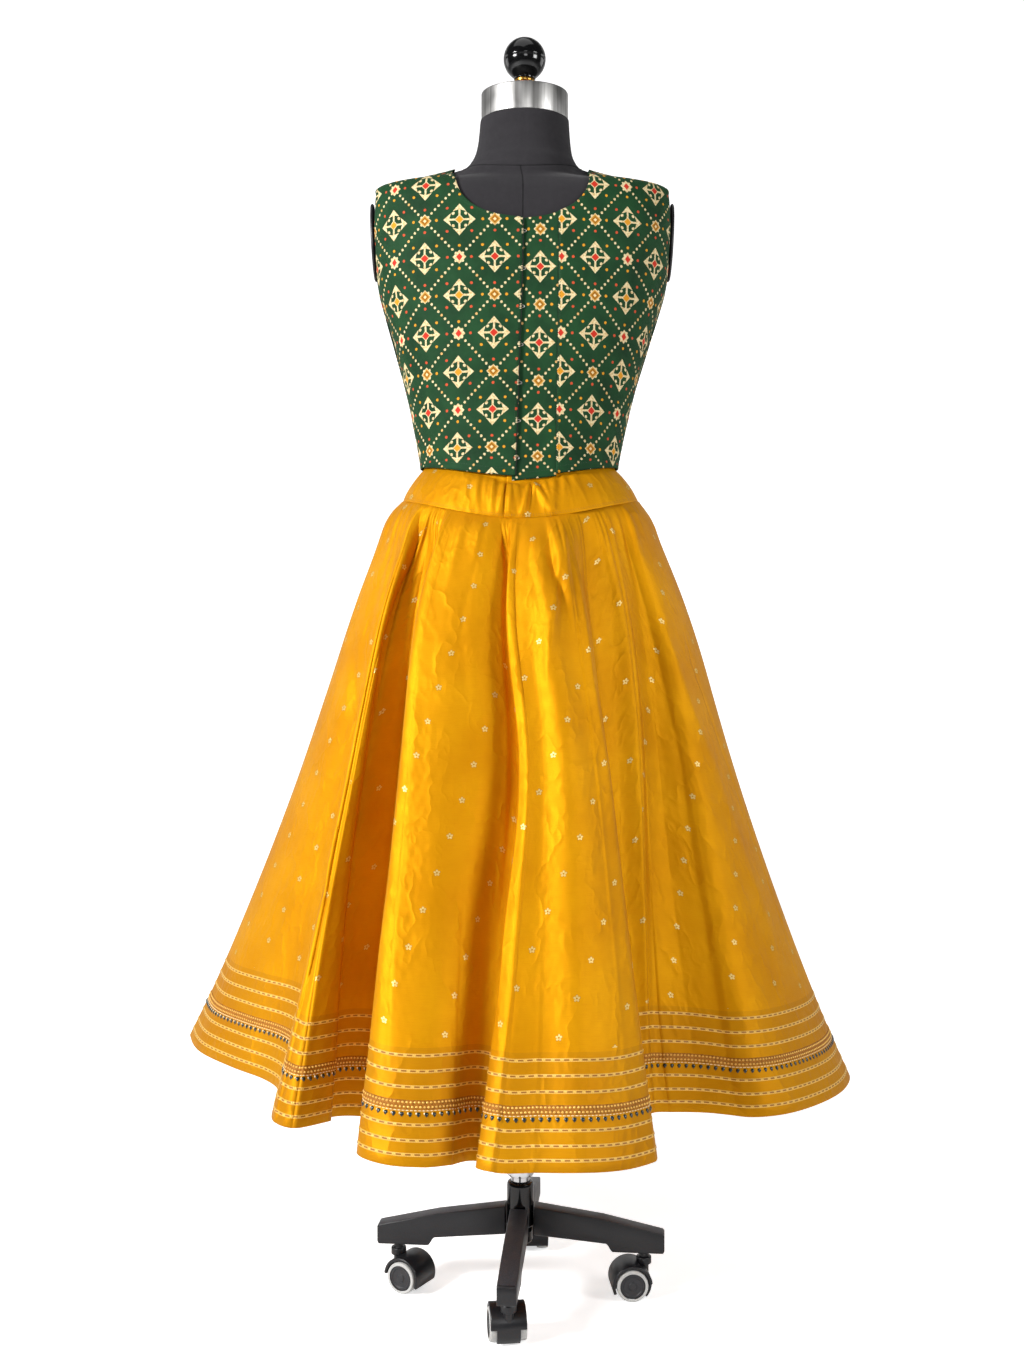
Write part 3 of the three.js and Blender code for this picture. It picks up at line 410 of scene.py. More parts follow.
# weave of crossing threads: Height for the bump, Shade for a slight colour change
web, given, out = newGroup("threadWeave", {"Vector": "vector", "Across": "value", "Along": "value"},
                           {"Height": "value", "Shade": "value"})
wx, wy, _ = web.split(given["Vector"])
waveX = web.math("SINE", web.mul(wx, given["Across"]))
waveY = web.math("SINE", web.mul(wy, given["Along"]))
cloudy = web.noise(given["Vector"], 900.0, 1.0)
web.feed(out["Height"], web.add(web.mul(web.mul(waveX, waveY), 0.5), web.mul(cloudy, 0.6)))
web.feed(out["Shade"], web.fit(web.add(web.mul(waveX, 0.35), cloudy), 0.0, 1.2, 0.0, 1.0))
threadWeave = web.tree

# slow uneven patches, large in Patch and small in Fine
web, given, out = newGroup("slowPatches", {"Vector": "vector", "Size": "value"},
                           {"Patch": "value", "Fine": "value"})
web.feed(out["Patch"], web.fit(web.noise(given["Vector"], given["Size"], 3.0), 0.3, 0.7, 0.0, 1.0))
fineNoise = web.noise(given["Vector"], web.mul(given["Size"], 9.0), 2.0)
web.feed(out["Fine"], web.fit(fineNoise, 0.3, 0.7, 0.0, 1.0))
slowPatches = web.tree

# moulded or powdered skin: Grain for the bump, Wear for roughness
web, given, out = newGroup("mouldedSkin", {"Vector": "vector", "Scale": "value"},
                           {"Grain": "value", "Wear": "value"})
web.feed(out["Grain"], web.noise(given["Vector"], given["Scale"], 3.0, 0.6))
web.feed(out["Wear"], web.fit(web.noise(given["Vector"], 35.0, 3.0), 0.35, 0.65, 0.0, 1.0))
mouldedSkin = web.tree

# twisted thread seen along its run (x) and round it (y)
web, given, out = newGroup("twistedThread", {"Vector": "vector", "Turns": "value"},
                           {"Twist": "value", "Fleck": "value"})
tx, ty, _ = web.split(given["Vector"])
slant = web.math("SINE", web.add(web.mul(tx, given["Turns"]), web.mul(ty, 1900.0)))
web.feed(out["Twist"], web.fit(slant, -1.0, 1.0, 0.0, 1.0))
web.feed(out["Fleck"], web.fit(web.noise(given["Vector"], 330.0, 2.0), 0.5, 0.62, 0.0, 1.0))
twistedThread = web.tree
print("shared effects built")

printSet = {
    "cellWidth": 41.0, "cellHeight": 44.0,
    "ground": linear(28, 69, 38), "groundDark": linear(20, 52, 29), "cream": linear(226, 210, 166),
    "orange": linear(214, 146, 36), "red": linear(198, 50, 34), "coral": linear(200, 78, 46),
    "gold": linear(196, 140, 46), "brown": linear(136, 82, 26), "straw": linear(186, 146, 74),
    "shade": linear(14, 34, 20), "wobble": 0.8, "tip": 18.8, "tipBase": 12.2, "stemHalf": 1.15, "stemReach": 12.0,
    "leafAt": 14.6, "leafSize": (2.3, 2.7), "heartRim": 6.0, "heart": 4.7, "smallRim": 8.0, "smallRed": 4.6,
    "smallGold": 6.6, "goldRing": (2.9, 4.6), "goldEye": 1.9, "beadsPerSide": 10, "bead": 1.5, "dot": 1.65,
    "dotUp": 13.4, "dotSide": 14.0, "dotCorner": (14.3, 13.7),
}


def makePrint():
    material, web, shader = newMaterial("printCloth", specular=0.12)
    spot = web.cut()
    cloud = web.noise(spot, 620.0, 2.0, vectorOut=True)
    wobble = web.vector("SUBTRACT", {0: cloud, 1: (0.5, 0.5, 0.5)})
    spotMm = web.vector("SCALE", {0: spot, 3: 1000.0})
    moved = web.vector("ADD", {0: spotMm, 1: web.vector("SCALE", {0: wobble, 3: printSet["wobble"]})})
    x, y, _ = web.split(moved)
    w, h = printSet["cellWidth"], printSet["cellHeight"]
    ax, ay = web.math("PINGPONG", x, w), web.math("PINGPONG", y, h)
    px, py = web.mul(ax, 1 / w), web.mul(ay, 1 / h)
    level = web.add(px, py)
    outer = web.more(level, 1.0)  # 1 in the diamonds with an orange heart
    bx = web.math("ABSOLUTE", web.sub(ax, web.mul(outer, w)))
    by = web.math("ABSOLUTE", web.sub(ay, web.mul(outer, h)))
    high, low = web.math("MAXIMUM", bx, by), web.math("MINIMUM", bx, by)
    total, apart = web.add(bx, by), web.math("ABSOLUTE", web.sub(bx, by))
    head = web.both(web.less(low, web.mul(web.sub(printSet["tip"], high), 0.86)),
                    web.more(high, web.sub(printSet["tipBase"], web.mul(low, 0.32))))
    stem = web.both(web.less(low, printSet["stemHalf"]), web.less(high, printSet["stemReach"]))
    leafLong, leafWide = printSet["leafSize"]
    leafOut = web.mul(web.sub(total, printSet["leafAt"]), 1 / leafLong)
    leaf = web.less(web.length(leafOut, web.mul(apart, 1 / leafWide)), 1.0)
    heartRim, heart = web.less(total, printSet["heartRim"]), web.less(total, printSet["heart"])
    redSmall = web.less(py, px)
    sx = web.math("ABSOLUTE", web.sub(ax, web.mul(redSmall, w)))
    sy = web.math("ABSOLUTE", web.sub(ay, web.mul(web.sub(1.0, redSmall), h)))
    small = web.add(sx, sy)
    smallRim = web.less(small, printSet["smallRim"])
    redHeart = web.both(redSmall, web.less(web.add(web.mul(sx, 1.25), sy), printSet["smallRed"]))
    goldHeart = web.both(web.sub(1.0, redSmall), web.less(small, printSet["smallGold"]))
    ringIn, ringOut = printSet["goldRing"]
    goldRing = web.both(goldHeart, web.both(web.more(small, ringIn), web.less(small, ringOut)))
    goldEye = web.both(goldHeart, web.less(small, printSet["goldEye"]))
    across = web.mul(web.math("ABSOLUTE", web.sub(level, 1.0)), 1 / math.hypot(1 / w, 1 / h))
    run = web.add(web.mul(web.sub(px, py), 0.5), 0.5)
    beads = printSet["beadsPerSide"]
    step = web.mul(web.math("PINGPONG", web.mul(run, float(beads)), 0.5), math.hypot(w, h) / beads)
    bead = web.less(web.length(across, step), printSet["bead"])
    middleBead = web.both(bead, web.less(web.math("ABSOLUTE", web.sub(run, 0.5)), 0.05))
    cornerX, cornerY = printSet["dotCorner"]
    dotUp = web.less(web.length(sx, web.sub(sy, printSet["dotUp"])), printSet["dot"])
    dotSide = web.less(web.length(web.sub(sx, printSet["dotSide"]), sy), printSet["dot"])
    dotCorner = web.less(web.length(web.sub(bx, cornerX), web.sub(by, cornerY)), printSet["dot"])
    dots = web.either(dotUp, dotSide, dotCorner)
    redDot = web.either(web.both(dotUp, web.sub(1.0, redSmall)), web.both(dotSide, redSmall),
                        web.both(dotCorner, outer))
    patches = web.use(slowPatches, Vector=spot, Size=26.0)
    weave = web.use(threadWeave, Vector=spot, Across=9000.0, Along=9000.0)
    color = web.mix(patches["Patch"], printSet["ground"], printSet["groundDark"])
    cream = web.either(head, stem, leaf, heartRim, smallRim, bead)
    worn = web.fit(web.noise(spot, 420.0, 2.0), 0.42, 0.68, 0.0, 0.75)
    color = web.mix(cream, color, web.mix(worn, printSet["cream"], printSet["straw"]))
    color = web.mix(web.mul(middleBead, 0.6), color, printSet["orange"])
    color = web.mix(heart, color, web.mix(outer, printSet["red"], printSet["orange"]))
    color = web.mix(redHeart, color, printSet["red"])
    color = web.mix(goldHeart, color, printSet["gold"])
    color = web.mix(goldRing, color, printSet["brown"])
    color = web.mix(goldEye, color, printSet["cream"])
    color = web.mix(dots, color, web.mix(redDot, printSet["orange"], printSet["coral"]))
    color = web.mix(web.mul(weave["Shade"], 0.16), color, printSet["shade"])
    web.feed(shader["Base Color"], color)
    web.feed(shader["Roughness"], web.fit(patches["Fine"], 0.0, 1.0, 0.56, 0.7))
    web.feed(shader["Normal"], web.bump(weave["Height"], 0.35, 0.0003))
    return material


satinSet = {
    "warm": linear(214, 150, 12), "deep": linear(190, 122, 5), "slub": linear(190, 108, 8), "shade": linear(160, 90, 4),
    "border": linear(160, 104, 20), "butti": linear(216, 188, 118), "rim": linear(150, 88, 12), "shine": linear(255, 210, 70),
    "lattice": ((15.0, 40.0), (64.0, -12.6)), "petals": 5, "size": 3.7, "eye": 0.95, "rimWidth": 0.55,
    "buttiFrom": 122.0, "borderTop": 119.0,
}


def makeSatin():
    material, web, shader = newMaterial("satin", specular=0.22, tint=satinSet["shine"])
    spot = web.cut()
    x, y, _ = web.split(spot)
    xm, ym = web.mul(x, 1000.0), web.mul(y, 1000.0)
    (ax, ay), (bx, by) = satinSet["lattice"]
    det = ax * by - ay * bx
    ia = web.sub(web.mul(xm, by / det), web.mul(ym, bx / det))
    ib = web.sub(web.mul(ym, ax / det), web.mul(xm, ay / det))
    fa, fb = web.sub(web.math("FRACT", ia), 0.5), web.sub(web.math("FRACT", ib), 0.5)
    dx = web.add(web.mul(fa, ax), web.mul(fb, bx))
    dy = web.add(web.mul(fa, ay), web.mul(fb, by))
    radius, turn = web.length(dx, dy), web.math("ARCTAN2", dx, dy)
    petals = web.math("ABSOLUTE", web.math("COSINE", web.mul(turn, satinSet["petals"] / 2)))
    edge = web.mul(web.add(0.34, web.mul(web.math("POWER", petals, 0.7), 0.66)), satinSet["size"])
    aboveBorder = web.more(ym, satinSet["buttiFrom"])
    butti = web.both(web.less(radius, edge), aboveBorder)
    rim = web.both(web.less(radius, web.add(edge, satinSet["rimWidth"])), aboveBorder)
    butti = web.both(butti, web.sub(1.0, web.less(radius, satinSet["eye"])))
    patches = web.use(slowPatches, Vector=spot, Size=9.0)
    slub = web.noise(web.join(web.mul(x, 60.0), web.mul(y, 1400.0)), 1.0, 2.0)
    weave = web.use(threadWeave, Vector=spot, Across=5200.0, Along=12500.0)
    color = web.mix(web.mul(patches["Patch"], 0.8), satinSet["warm"], satinSet["deep"])
    color = web.mix(web.mul(web.fit(slub, 0.45, 0.75, 0.0, 1.0), 0.25), color, satinSet["slub"])
    color = web.mix(web.mul(weave["Shade"], 0.16), color, satinSet["shade"])
    color = web.mix(web.mul(web.less(ym, satinSet["borderTop"]), 0.3), color, satinSet["border"])
    color = web.mix(web.mul(rim, 0.55), color, satinSet["rim"])
    color = web.mix(butti, color, satinSet["butti"])
    web.feed(shader["Base Color"], color)
    web.feed(shader["Metallic"], web.add(0.3, web.mul(butti, 0.25)))
    dull = web.fit(patches["Fine"], 0.0, 1.0, 0.42, 0.5)
    web.feed(shader["Roughness"], web.add(dull, web.mul(butti, -0.05)))
    height = web.add(web.add(web.mul(weave["Height"], 0.3), web.mul(slub, 0.5)), web.mul(butti, 1.2))
    fold = web.noise(web.join(web.mul(x, 17.0), web.mul(y, 11.0)), 1.0, 3.0, 0.55)
    crush = web.mul(web.math("ABSOLUTE", web.sub(fold, 0.5)), 9.0)
    crush = web.math("POWER", web.sub(1.0, web.math("MINIMUM", crush, 1.0)), 2.0)
    uneven = web.noise(web.join(web.mul(x, 34.0), web.mul(y, 20.0)), 1.0, 2.0)
    crushed = web.bump(crush, 0.26, 0.0026, web.bump(uneven, 0.2, 0.0045))
    web.feed(shader["Normal"], web.bump(height, 0.45, 0.0004, crushed))
    return material


def makeThreadMetal(name, light, dark, turns, metal, rough):
    material, web, shader = newMaterial(name, specular=0.3)
    spot = web.cut()
    twisted = web.use(twistedThread, Vector=spot, Turns=turns)
    color = web.mix(web.mul(twisted["Twist"], 0.35), light, dark)
    color = web.mix(web.mul(twisted["Fleck"], 0.6), color, dark)
    web.feed(shader["Base Color"], color)
    web.feed(shader["Metallic"], web.fit(twisted["Twist"], 0.0, 1.0, metal, metal * 0.7))
    web.feed(shader["Roughness"], web.fit(twisted["Fleck"], 0.0, 1.0, rough, rough + 0.15))
    web.feed(shader["Normal"], web.bump(twisted["Twist"], 0.6, 0.0004))
    return material


zariSet = {
    "cream": linear(232, 186, 84), "brown": linear(150, 92, 14), "line": 0.8, "dash": 9.5, "dashShare": 0.6,
}


def makeZari():  # two cream lines with brown dashes between them
    material, web, shader = newMaterial("zari", specular=0.5)
    spot = web.cut()
    x, y, _ = web.split(spot)
    inside = web.less(web.math("ABSOLUTE", web.mul(y, 1000.0)), zariSet["line"])
    dash = web.less(web.math("FRACT", web.mul(x, 1000.0 / zariSet["dash"])), zariSet["dashShare"])
    twisted = web.use(twistedThread, Vector=spot, Turns=2600.0)
    color = web.mix(web.both(inside, dash), zariSet["cream"], zariSet["brown"])
    color = web.mix(web.mul(twisted["Twist"], 0.25), color, zariSet["brown"])
    web.feed(shader["Base Color"], color)
    web.feed(shader["Metallic"], web.fit(twisted["Twist"], 0.0, 1.0, 0.2, 0.1))
    web.feed(shader["Roughness"], web.fit(twisted["Fleck"], 0.0, 1.0, 0.4, 0.55))
    web.feed(shader["Normal"], web.bump(twisted["Twist"], 0.6, 0.0004))
    return material


def makeCotton(name, light, dark, rough=0.85, scale=7000.0, sheen=0.2):
    material, web, shader = newMaterial(name, specular=0.25, sheen=sheen, sheenRough=0.5)
    spot = web.place()
    skin = web.use(mouldedSkin, Vector=spot, Scale=scale / 6)
    patches = web.use(slowPatches, Vector=spot, Size=14.0)
    color = web.mix(web.mul(patches["Patch"], 0.5), light, dark)
    color = web.mix(web.fit(skin["Grain"], 0.3, 0.7, 0.0, 0.4), color, dark)
    web.feed(shader["Base Color"], color)
    web.feed(shader["Roughness"], web.fit(patches["Fine"], 0.0, 1.0, rough - 0.05, rough + 0.05))
    web.feed(shader["Normal"], web.bump(skin["Grain"], 0.4, 0.0004))
    return material


def makePlastic(name, light, dark, rough, scale=900.0, bump=0.2, specular=0.5, coat=0.0):
    material, web, shader = newMaterial(name, specular=specular, coat=coat, coatRough=0.08)
    spot = web.place()
    skin = web.use(mouldedSkin, Vector=spot, Scale=scale)
    web.feed(shader["Base Color"], web.mix(web.fit(skin["Grain"], 0.35, 0.65, 0.0, 1.0), light, dark))
    web.feed(shader["Roughness"], web.fit(skin["Wear"], 0.0, 1.0, rough * 0.85, rough * 1.15))
    web.feed(shader["Normal"], web.bump(skin["Grain"], bump, 0.0002))
    return material


def makeMetal(name, light, dark, rough, streak, aniso=0.0):
    material, web, shader = newMaterial(name, metal=1.0, aniso=aniso)
    spot = web.place()
    x, y, z = web.split(spot)
    drawn = web.join(web.mul(x, streak[0]), web.mul(y, streak[1]), web.mul(z, streak[2]))
    streaks = web.noise(drawn, 1.0, 3.0)
    skin = web.use(mouldedSkin, Vector=spot, Scale=400.0)
    web.feed(shader["Base Color"], web.mix(web.fit(streaks, 0.35, 0.65, 0.0, 1.0), light, dark))
    web.feed(shader["Roughness"], web.fit(skin["Wear"], 0.0, 1.0, rough, rough * 1.4))
    web.feed(shader["Normal"], web.bump(streaks, 0.12, 0.0002))
    return material


printCloth = makePrint()
satin = makeSatin()
zari = makeZari()
braidGround = makeThreadMetal("braidGround", linear(172, 108, 18), linear(112, 64, 8), 2100.0, 0.1, 0.6)
braid = makeThreadMetal("braid", linear(240, 196, 100), linear(190, 124, 34), 2100.0, 0.3, 0.4)
creamThread = makeThreadMetal("creamThread", linear(244, 230, 190), linear(190, 150, 90), 3000.0, 0.2, 0.5)
goldStitch = makeCotton("goldStitch", linear(176, 112, 16), linear(112, 64, 6), 0.6)
hookSteel = makeMetal("hookSteel", linear(178, 176, 170), linear(140, 138, 132), 0.3, (40.0, 40.0, 900.0))
greenStitch = makeCotton("greenStitch", linear(26, 60, 36), linear(14, 34, 20), 0.7)
# dark green for the strip seam's stitches, and for the tube that paints the shadow line along the hooked opening
seamThreadAndShadowGreen = makeCotton("seamThreadAndShadowGreen", linear(12, 26, 16), linear(7, 15, 10), 0.9)
formThread = makeCotton("formThread", linear(26, 25, 27), linear(17, 17, 18), 0.9, 9000.0, 0.0)
beadGlass = makePlastic("beadGlass", linear(14, 34, 24), linear(6, 14, 10), 0.12, coat=0.6)
formCloth = makeCotton("formCloth", linear(42, 40, 43), linear(33, 31, 34), 0.9, 9000.0, 0.06)
platePlastic = makePlastic("platePlastic", linear(26, 26, 28), linear(18, 18, 20), 0.4)
glossBlack = makePlastic("glossBlack", linear(9, 9, 10), linear(6, 6, 7), 0.12, 300.0, 0.02, 0.35, coat=0.35)
satinBlack = makePlastic("satinBlack", linear(27, 27, 30), linear(18, 18, 21), 0.34)
# painted light: the leg tops get a lighter grey copy of the black leg plastic, standing in for the light that falls on
# them from above
legTopPaintedLight = makePlastic("legTopPaintedLight", linear(62, 62, 66), linear(44, 44, 48), 0.4, 700.0, 0.5)
treadGrey = makePlastic("treadGrey", linear(202, 202, 199), linear(184, 184, 182), 0.55)
discGrey = makePlastic("discGrey", linear(48, 48, 51), linear(38, 38, 41), 0.45)
brushedSteel = makeMetal("brushedSteel", linear(176, 175, 173), linear(134, 133, 131), 0.3,
                         (240.0, 240.0, 6.0), 0.3)
brass = makeMetal("brass", linear(196, 152, 74), linear(158, 112, 44), 0.22, (20.0, 20.0, 1500.0))
chrome = makeMetal("chrome", linear(222, 223, 225), linear(206, 207, 210), 0.07, (10.0, 10.0, 60.0))
print("finishes built")

paperSet = {"glow": 0.6, "near": -4.5, "bend": 2.6, "sweep": 1.4, "top": 6.5, "half": 7.0}
lightSet = {
    "worldSeen": 1.0, "worldLight": 0.07,
    "areas": [
        {"name": "key", "place": (-2.6, -1.85, 2.2), "aim": (0, 0, 0.85), "size": 0.8, "power": 163},
        {"name": "fill", "place": (2.7, -1.7, 1.8), "aim": (0, 0, 0.8), "size": 1.0, "power": 50},
        {"name": "front", "place": (0.3, -3.3, 2.0), "aim": (0, 0, 0.9), "size": 0.9, "power": 14},
        {"name": "top", "place": (-0.2, -0.2, 3.4), "aim": (0, 0, 0.8), "size": 2.0, "power": 12},
        {"name": "rimLeft", "place": (-2.6, 1.3, 1.5), "aim": (0, 0, 0.7), "size": 1.2, "power": 8},
        {"name": "rimRight", "place": (2.6, 1.0, 1.5), "aim": (0, 0, 0.7), "size": 1.2, "power": 9},
    ],
}


def addStage():
    scene = bpy.context.scene
    scene.view_settings.view_transform = "Standard"
    world = bpy.data.worlds.new("studio")
    world.use_nodes = True
    background = world.node_tree.nodes["Background"]
    background.inputs[0].default_value = (1, 1, 1, 1)
    sky = Web(world.node_tree)
    seen = sky.node("ShaderNodeLightPath").outputs["Is Camera Ray"]
    sky.feed(background.inputs[1], sky.fit(seen, 0.0, 1.0, lightSet["worldLight"], lightSet["worldSeen"]))
    scene.world = world
    for entry in lightSet["areas"]:
        data = bpy.data.lights.new(entry["name"], "AREA")
        data.size = entry["size"]
        data.energy = entry["power"]
        lamp = bpy.data.objects.new(entry["name"], data)
        lamp.location = entry["place"]
        aim = Vector(entry["aim"]) - Vector(entry["place"])
        lamp.rotation_euler = aim.to_track_quat("-Z", "Y").to_euler()
        scene.collection.objects.link(lamp)
    addPaper()


def addPaper():  # paper that runs under the castors and sweeps up behind
    bend, sweep = paperSet["bend"], paperSet["sweep"]
    profile = [(paperSet["near"], 0), (bend, 0)]
    curve = np.linspace(0.1, math.pi / 2, 14)
    profile += [(bend + sweep * math.sin(a), sweep - sweep * math.cos(a)) for a in curve]
    profile.append((bend + sweep, paperSet["top"]))
    edges = (-paperSet["half"], paperSet["half"])
    points = [(x * 1000, y * 1000, z * 1000) for y, z in profile for x in edges]
    mesh = meshFrom("floor", points, gridFaces(len(profile), 2))
    material, web, shader = newMaterial("paper", rough=0.8, specular=0.2)
    shader["Emission Color"].default_value = (1, 1, 1, 1)
    paperSeen = web.node("ShaderNodeLightPath").outputs["Is Camera Ray"]
    web.feed(shader["Emission Strength"], web.mul(paperSeen, paperSet["glow"]))
    clouds = web.noise(web.place(), 1.2, 2.0)
    web.feed(shader["Base Color"], web.mix(clouds, (0.93, 0.93, 0.93, 1), (0.95, 0.95, 0.95, 1)))
    floor = finishObject("floor", mesh, material, body=None)


addStage()
print("stage and lights set")

formSet = {
    "around": 176, "bottom": 806.0, "shoulder": 1376.0, "neck": 1420.0, "top": 1463.6, "neckSeam": 1391.0,
    "seamWidth": 1.5, "neckSeamWidth": 1.3, "seamDepth": 0.5, "seamFrom": 1250.0, "seamThread": 0.45, "threadSink": -0.35,
}


def evenBearings(count, z):
    fine = np.linspace(0, 2 * math.pi, 1441)
    length = runAlong(formPoint(fine, z))
    return np.interp(np.linspace(0, length[-1], count, endpoint=False), length, fine)


def neckSeamZ(bearing):
    return formSet["neckSeam"] + 13 * np.sin(bearing) ** 2 + 3 * np.sin(bearing / 2) ** 2


def addFormSeams():  # the joining seams of the cover, sunk into their grooves
    around = np.linspace(0, 2 * math.pi, 241)
    paths = [onForm(around, neckSeamZ(around), np.full(241, formSet["threadSink"]))]
    normals = [formNormal(around, neckSeamZ(around))]
    for bearing in (0, math.pi):
        z = np.linspace(formSet["seamFrom"], float(neckSeamZ(bearing)), 80)
        paths.append(onForm(bearing, z, np.full(80, formSet["threadSink"])))
        normals.append(formNormal(bearing, z))
    points, faces, uv = tubeAlong(paths, formSet["seamThread"], 8, normals)
    mesh = meshFrom("dressFormSeams", points, faces, uv)
    finishObject("dressFormSeams", mesh, formThread)


def addTorso():
    bearings = evenBearings(formSet["around"], 1240)
    levels = [formSet[key] for key in ("bottom", "shoulder", "neck", "top")]
    stretches = [np.linspace(low, high, count) for low, high, count in zip(levels, levels[1:], (72, 60, 24))]
    heights = np.unique(np.concatenate(stretches))
    b, z = np.meshgrid(bearings, heights)
    points = formPoint(b, z)
    normals = formNormal(b, np.clip(z, 807, 1463))
    turned = np.minimum(np.abs((b + math.pi) % (2 * math.pi) - math.pi), np.abs(b - math.pi))
    away = turned * np.hypot(points[..., 0], points[..., 1])
    groove = np.exp(-(away / formSet["seamWidth"]) ** 2)
    neck = np.exp(-((z - neckSeamZ(b)) / formSet["neckSeamWidth"]) ** 2) * (z > formSet["shoulder"] + 4)
    points = points - normals * ((groove + neck) * formSet["seamDepth"])[..., None]
    rows, columns = points.shape[:2]
    caps = np.array([[0, 0, formSet["bottom"]], [5, 0, formSet["top"]]])
    faces = gridFaces(rows, columns, closed=True).tolist()
    last = rows * columns
    for i in range(columns):
        after = (i + 1) % columns
        faces.append([last, after, i])
        faces.append([last + 1, last - columns + i, last - columns + after])
    mesh = meshFrom("dressForm", np.concatenate([points.reshape(-1, 3), caps]), faces)
    finishObject("dressForm", mesh, formCloth, stands=["torso_form"])


armPlateSet = {
    "depth": 30.1, "height": 47.6, "tilt": 2.6, "reach": 182, "level": 1316, "lean": 2, "sunk": 1.4,
    "rings": [(0.0, 0), (0.9, 0), (0.965, 0.35), (1.0, 1.6), (1.0, 2.9), (0.965, 4.1), (0.9, 4.4), (0.82, 4.5), (0.0, 4.5)],
}


def addArmPlate(side, node):
    count = 72
    tilt = math.radians(armPlateSet["tilt"])
    points = []
    for share, lift in armPlateSet["rings"]:
        for a in np.linspace(0, 2 * math.pi, count, endpoint=False):
            y, z = armPlateSet["depth"] * share * math.cos(a), armPlateSet["height"] * share * math.sin(a)
            x = lift - armPlateSet["sunk"]
            x, z = x * math.cos(tilt) + z * math.sin(tilt), -x * math.sin(tilt) + z * math.cos(tilt)
            x = side * (armPlateSet["reach"] + x) + armPlateSet["lean"]
            points.append((x, side * y, armPlateSet["level"] + z))
    faces = gridFaces(len(armPlateSet["rings"]), count, closed=True)
    mesh = meshFrom(f"armholePlate_{node}", points, faces)
    finishObject(mesh.name, mesh, platePlastic, stands=[f"arm_plate_{node}"])


# turned parts on the neck: (radius, height) profiles, the knob's ball and the ring pressed round it
headSet = {
    "centre": (5, 0), "cap": [(0.01, 1464), (53.4, 1464), (53.4, 1497), (0.01, 1497)],
    "stem": [(0.01, 1497.2), (12.4, 1497.2), (12.4, 1500.2), (9.5, 1501.5), (9.5, 1511), (12.2, 1512), (12.2, 1515.2),
             (0.01, 1515.2)],
    "foot": [(0.01, 1515.5), (12.4, 1515.5), (13.4, 1515.9)], "ball": 26, "ballLevel": 1540,
    "ring": [(25.4, 1539.3), (25.4, 1539.9)],
}


def ballArc(start, end, steps):
    radius, level = headSet["ball"], headSet["ballLevel"]
    angles = np.radians(np.linspace(start, end, steps))
    return [(radius * math.cos(a), level + radius * math.sin(a)) for a in angles]


def addHead():
    mesh = turnedMesh("neckCap", rounded(headSet["cap"], 1.2, 5), 128, headSet["centre"])
    finishObject("neckCap", mesh, brushedSteel, stands=["neck_cap"])
    mesh = turnedMesh("knobStem", rounded(headSet["stem"], 0.5, 3), 64, headSet["centre"])
    finishObject("knobStem", mesh, brass, stands=["knob_stem"])
    ball = headSet["foot"] + ballArc(-62, -2.4, 26) + headSet["ring"] + ballArc(1.2, 89.9, 36)
    mesh = turnedMesh("knob", ball, 88, headSet["centre"])
    finishObject("knob", mesh, glossBlack, stands=["knob"])


addTorso()
addFormSeams()
addArmPlate(-1, "left")
addArmPlate(1, "right")
addHead()
print("dress form built")

# each leg's name, its turn about the pole and how far its castor is swung, in degrees
standSet = {
    "baseTurn": -5.4, "legReach": 182, "legWidth": 23.4, "legEdge": 1.5, "stemReach": 156, "stemOffset": 17,
    "places": [("front", -90, 12), ("right", 0, 10), ("back", 90, 8), ("left", 180, -25)],
}
# hood parts are arcs: from and to in degrees, inner and outer radius, steps, width, rounded edge
castorSet = {
    "wheelRadius": 20, "wheelWidth": 15.3, "innerY": 7.1, "facets": 16, "grow": 0.35,
    "hood": [("shell", (4, 204, 21.4, 25.3, 41), 43, 1.2), ("apron", (-42, 10, 21.5, 25.2, 13), 28, 1.0),
             ("web", (-42, 204, 2, 24, 41), 12, 0.4)],
    "stem": [(0.01, 25), (6.2, 25), (6.2, 41), (9.6, 41.5), (9.6, 49.6), (8.8, 50.4), (5.6, 50.4), (5.6, 56.6), (0.01, 56.6)],
}
# the wheels stand on flats, so this is their radius there and the height of the axle
inRadius = castorSet["wheelRadius"] * math.cos(math.pi / castorSet["facets"])


def turnMatrix(angle, shift=(0, 0, 0)):
    return Matrix.Rotation(math.radians(angle), 4, "Z") @ Matrix.Translation(Vector(shift) / 1000)


def bevelled(obj, width, limit):
    tool = obj.modifiers.new("bevel", "BEVEL")
    tool.width = width / 1000
    tool.segments = 3
    tool.limit_method = "ANGLE"
    tool.angle_limit = math.radians(limit)
    graph = bpy.context.evaluated_depsgraph_get()
    made = bpy.data.meshes.new_from_object(obj.evaluated_get(graph))
    made.polygons.foreach_set("use_smooth", [True] * len(made.polygons))
    obj.modifiers.clear()
    obj.data = made


def prism(outline, width):  # outline of (x, z) points, extruded evenly along Y
    count = len(outline)
    points = [(x, -width / 2, z) for x, z in outline] + [(x, width / 2, z) for x, z in outline]
    faces = [list(range(count)), list(range(2 * count - 1, count - 1, -1))]
    for i in range(count):
        after = (i + 1) % count
        faces.append([after, i, i + count, after + count])
    return points, faces


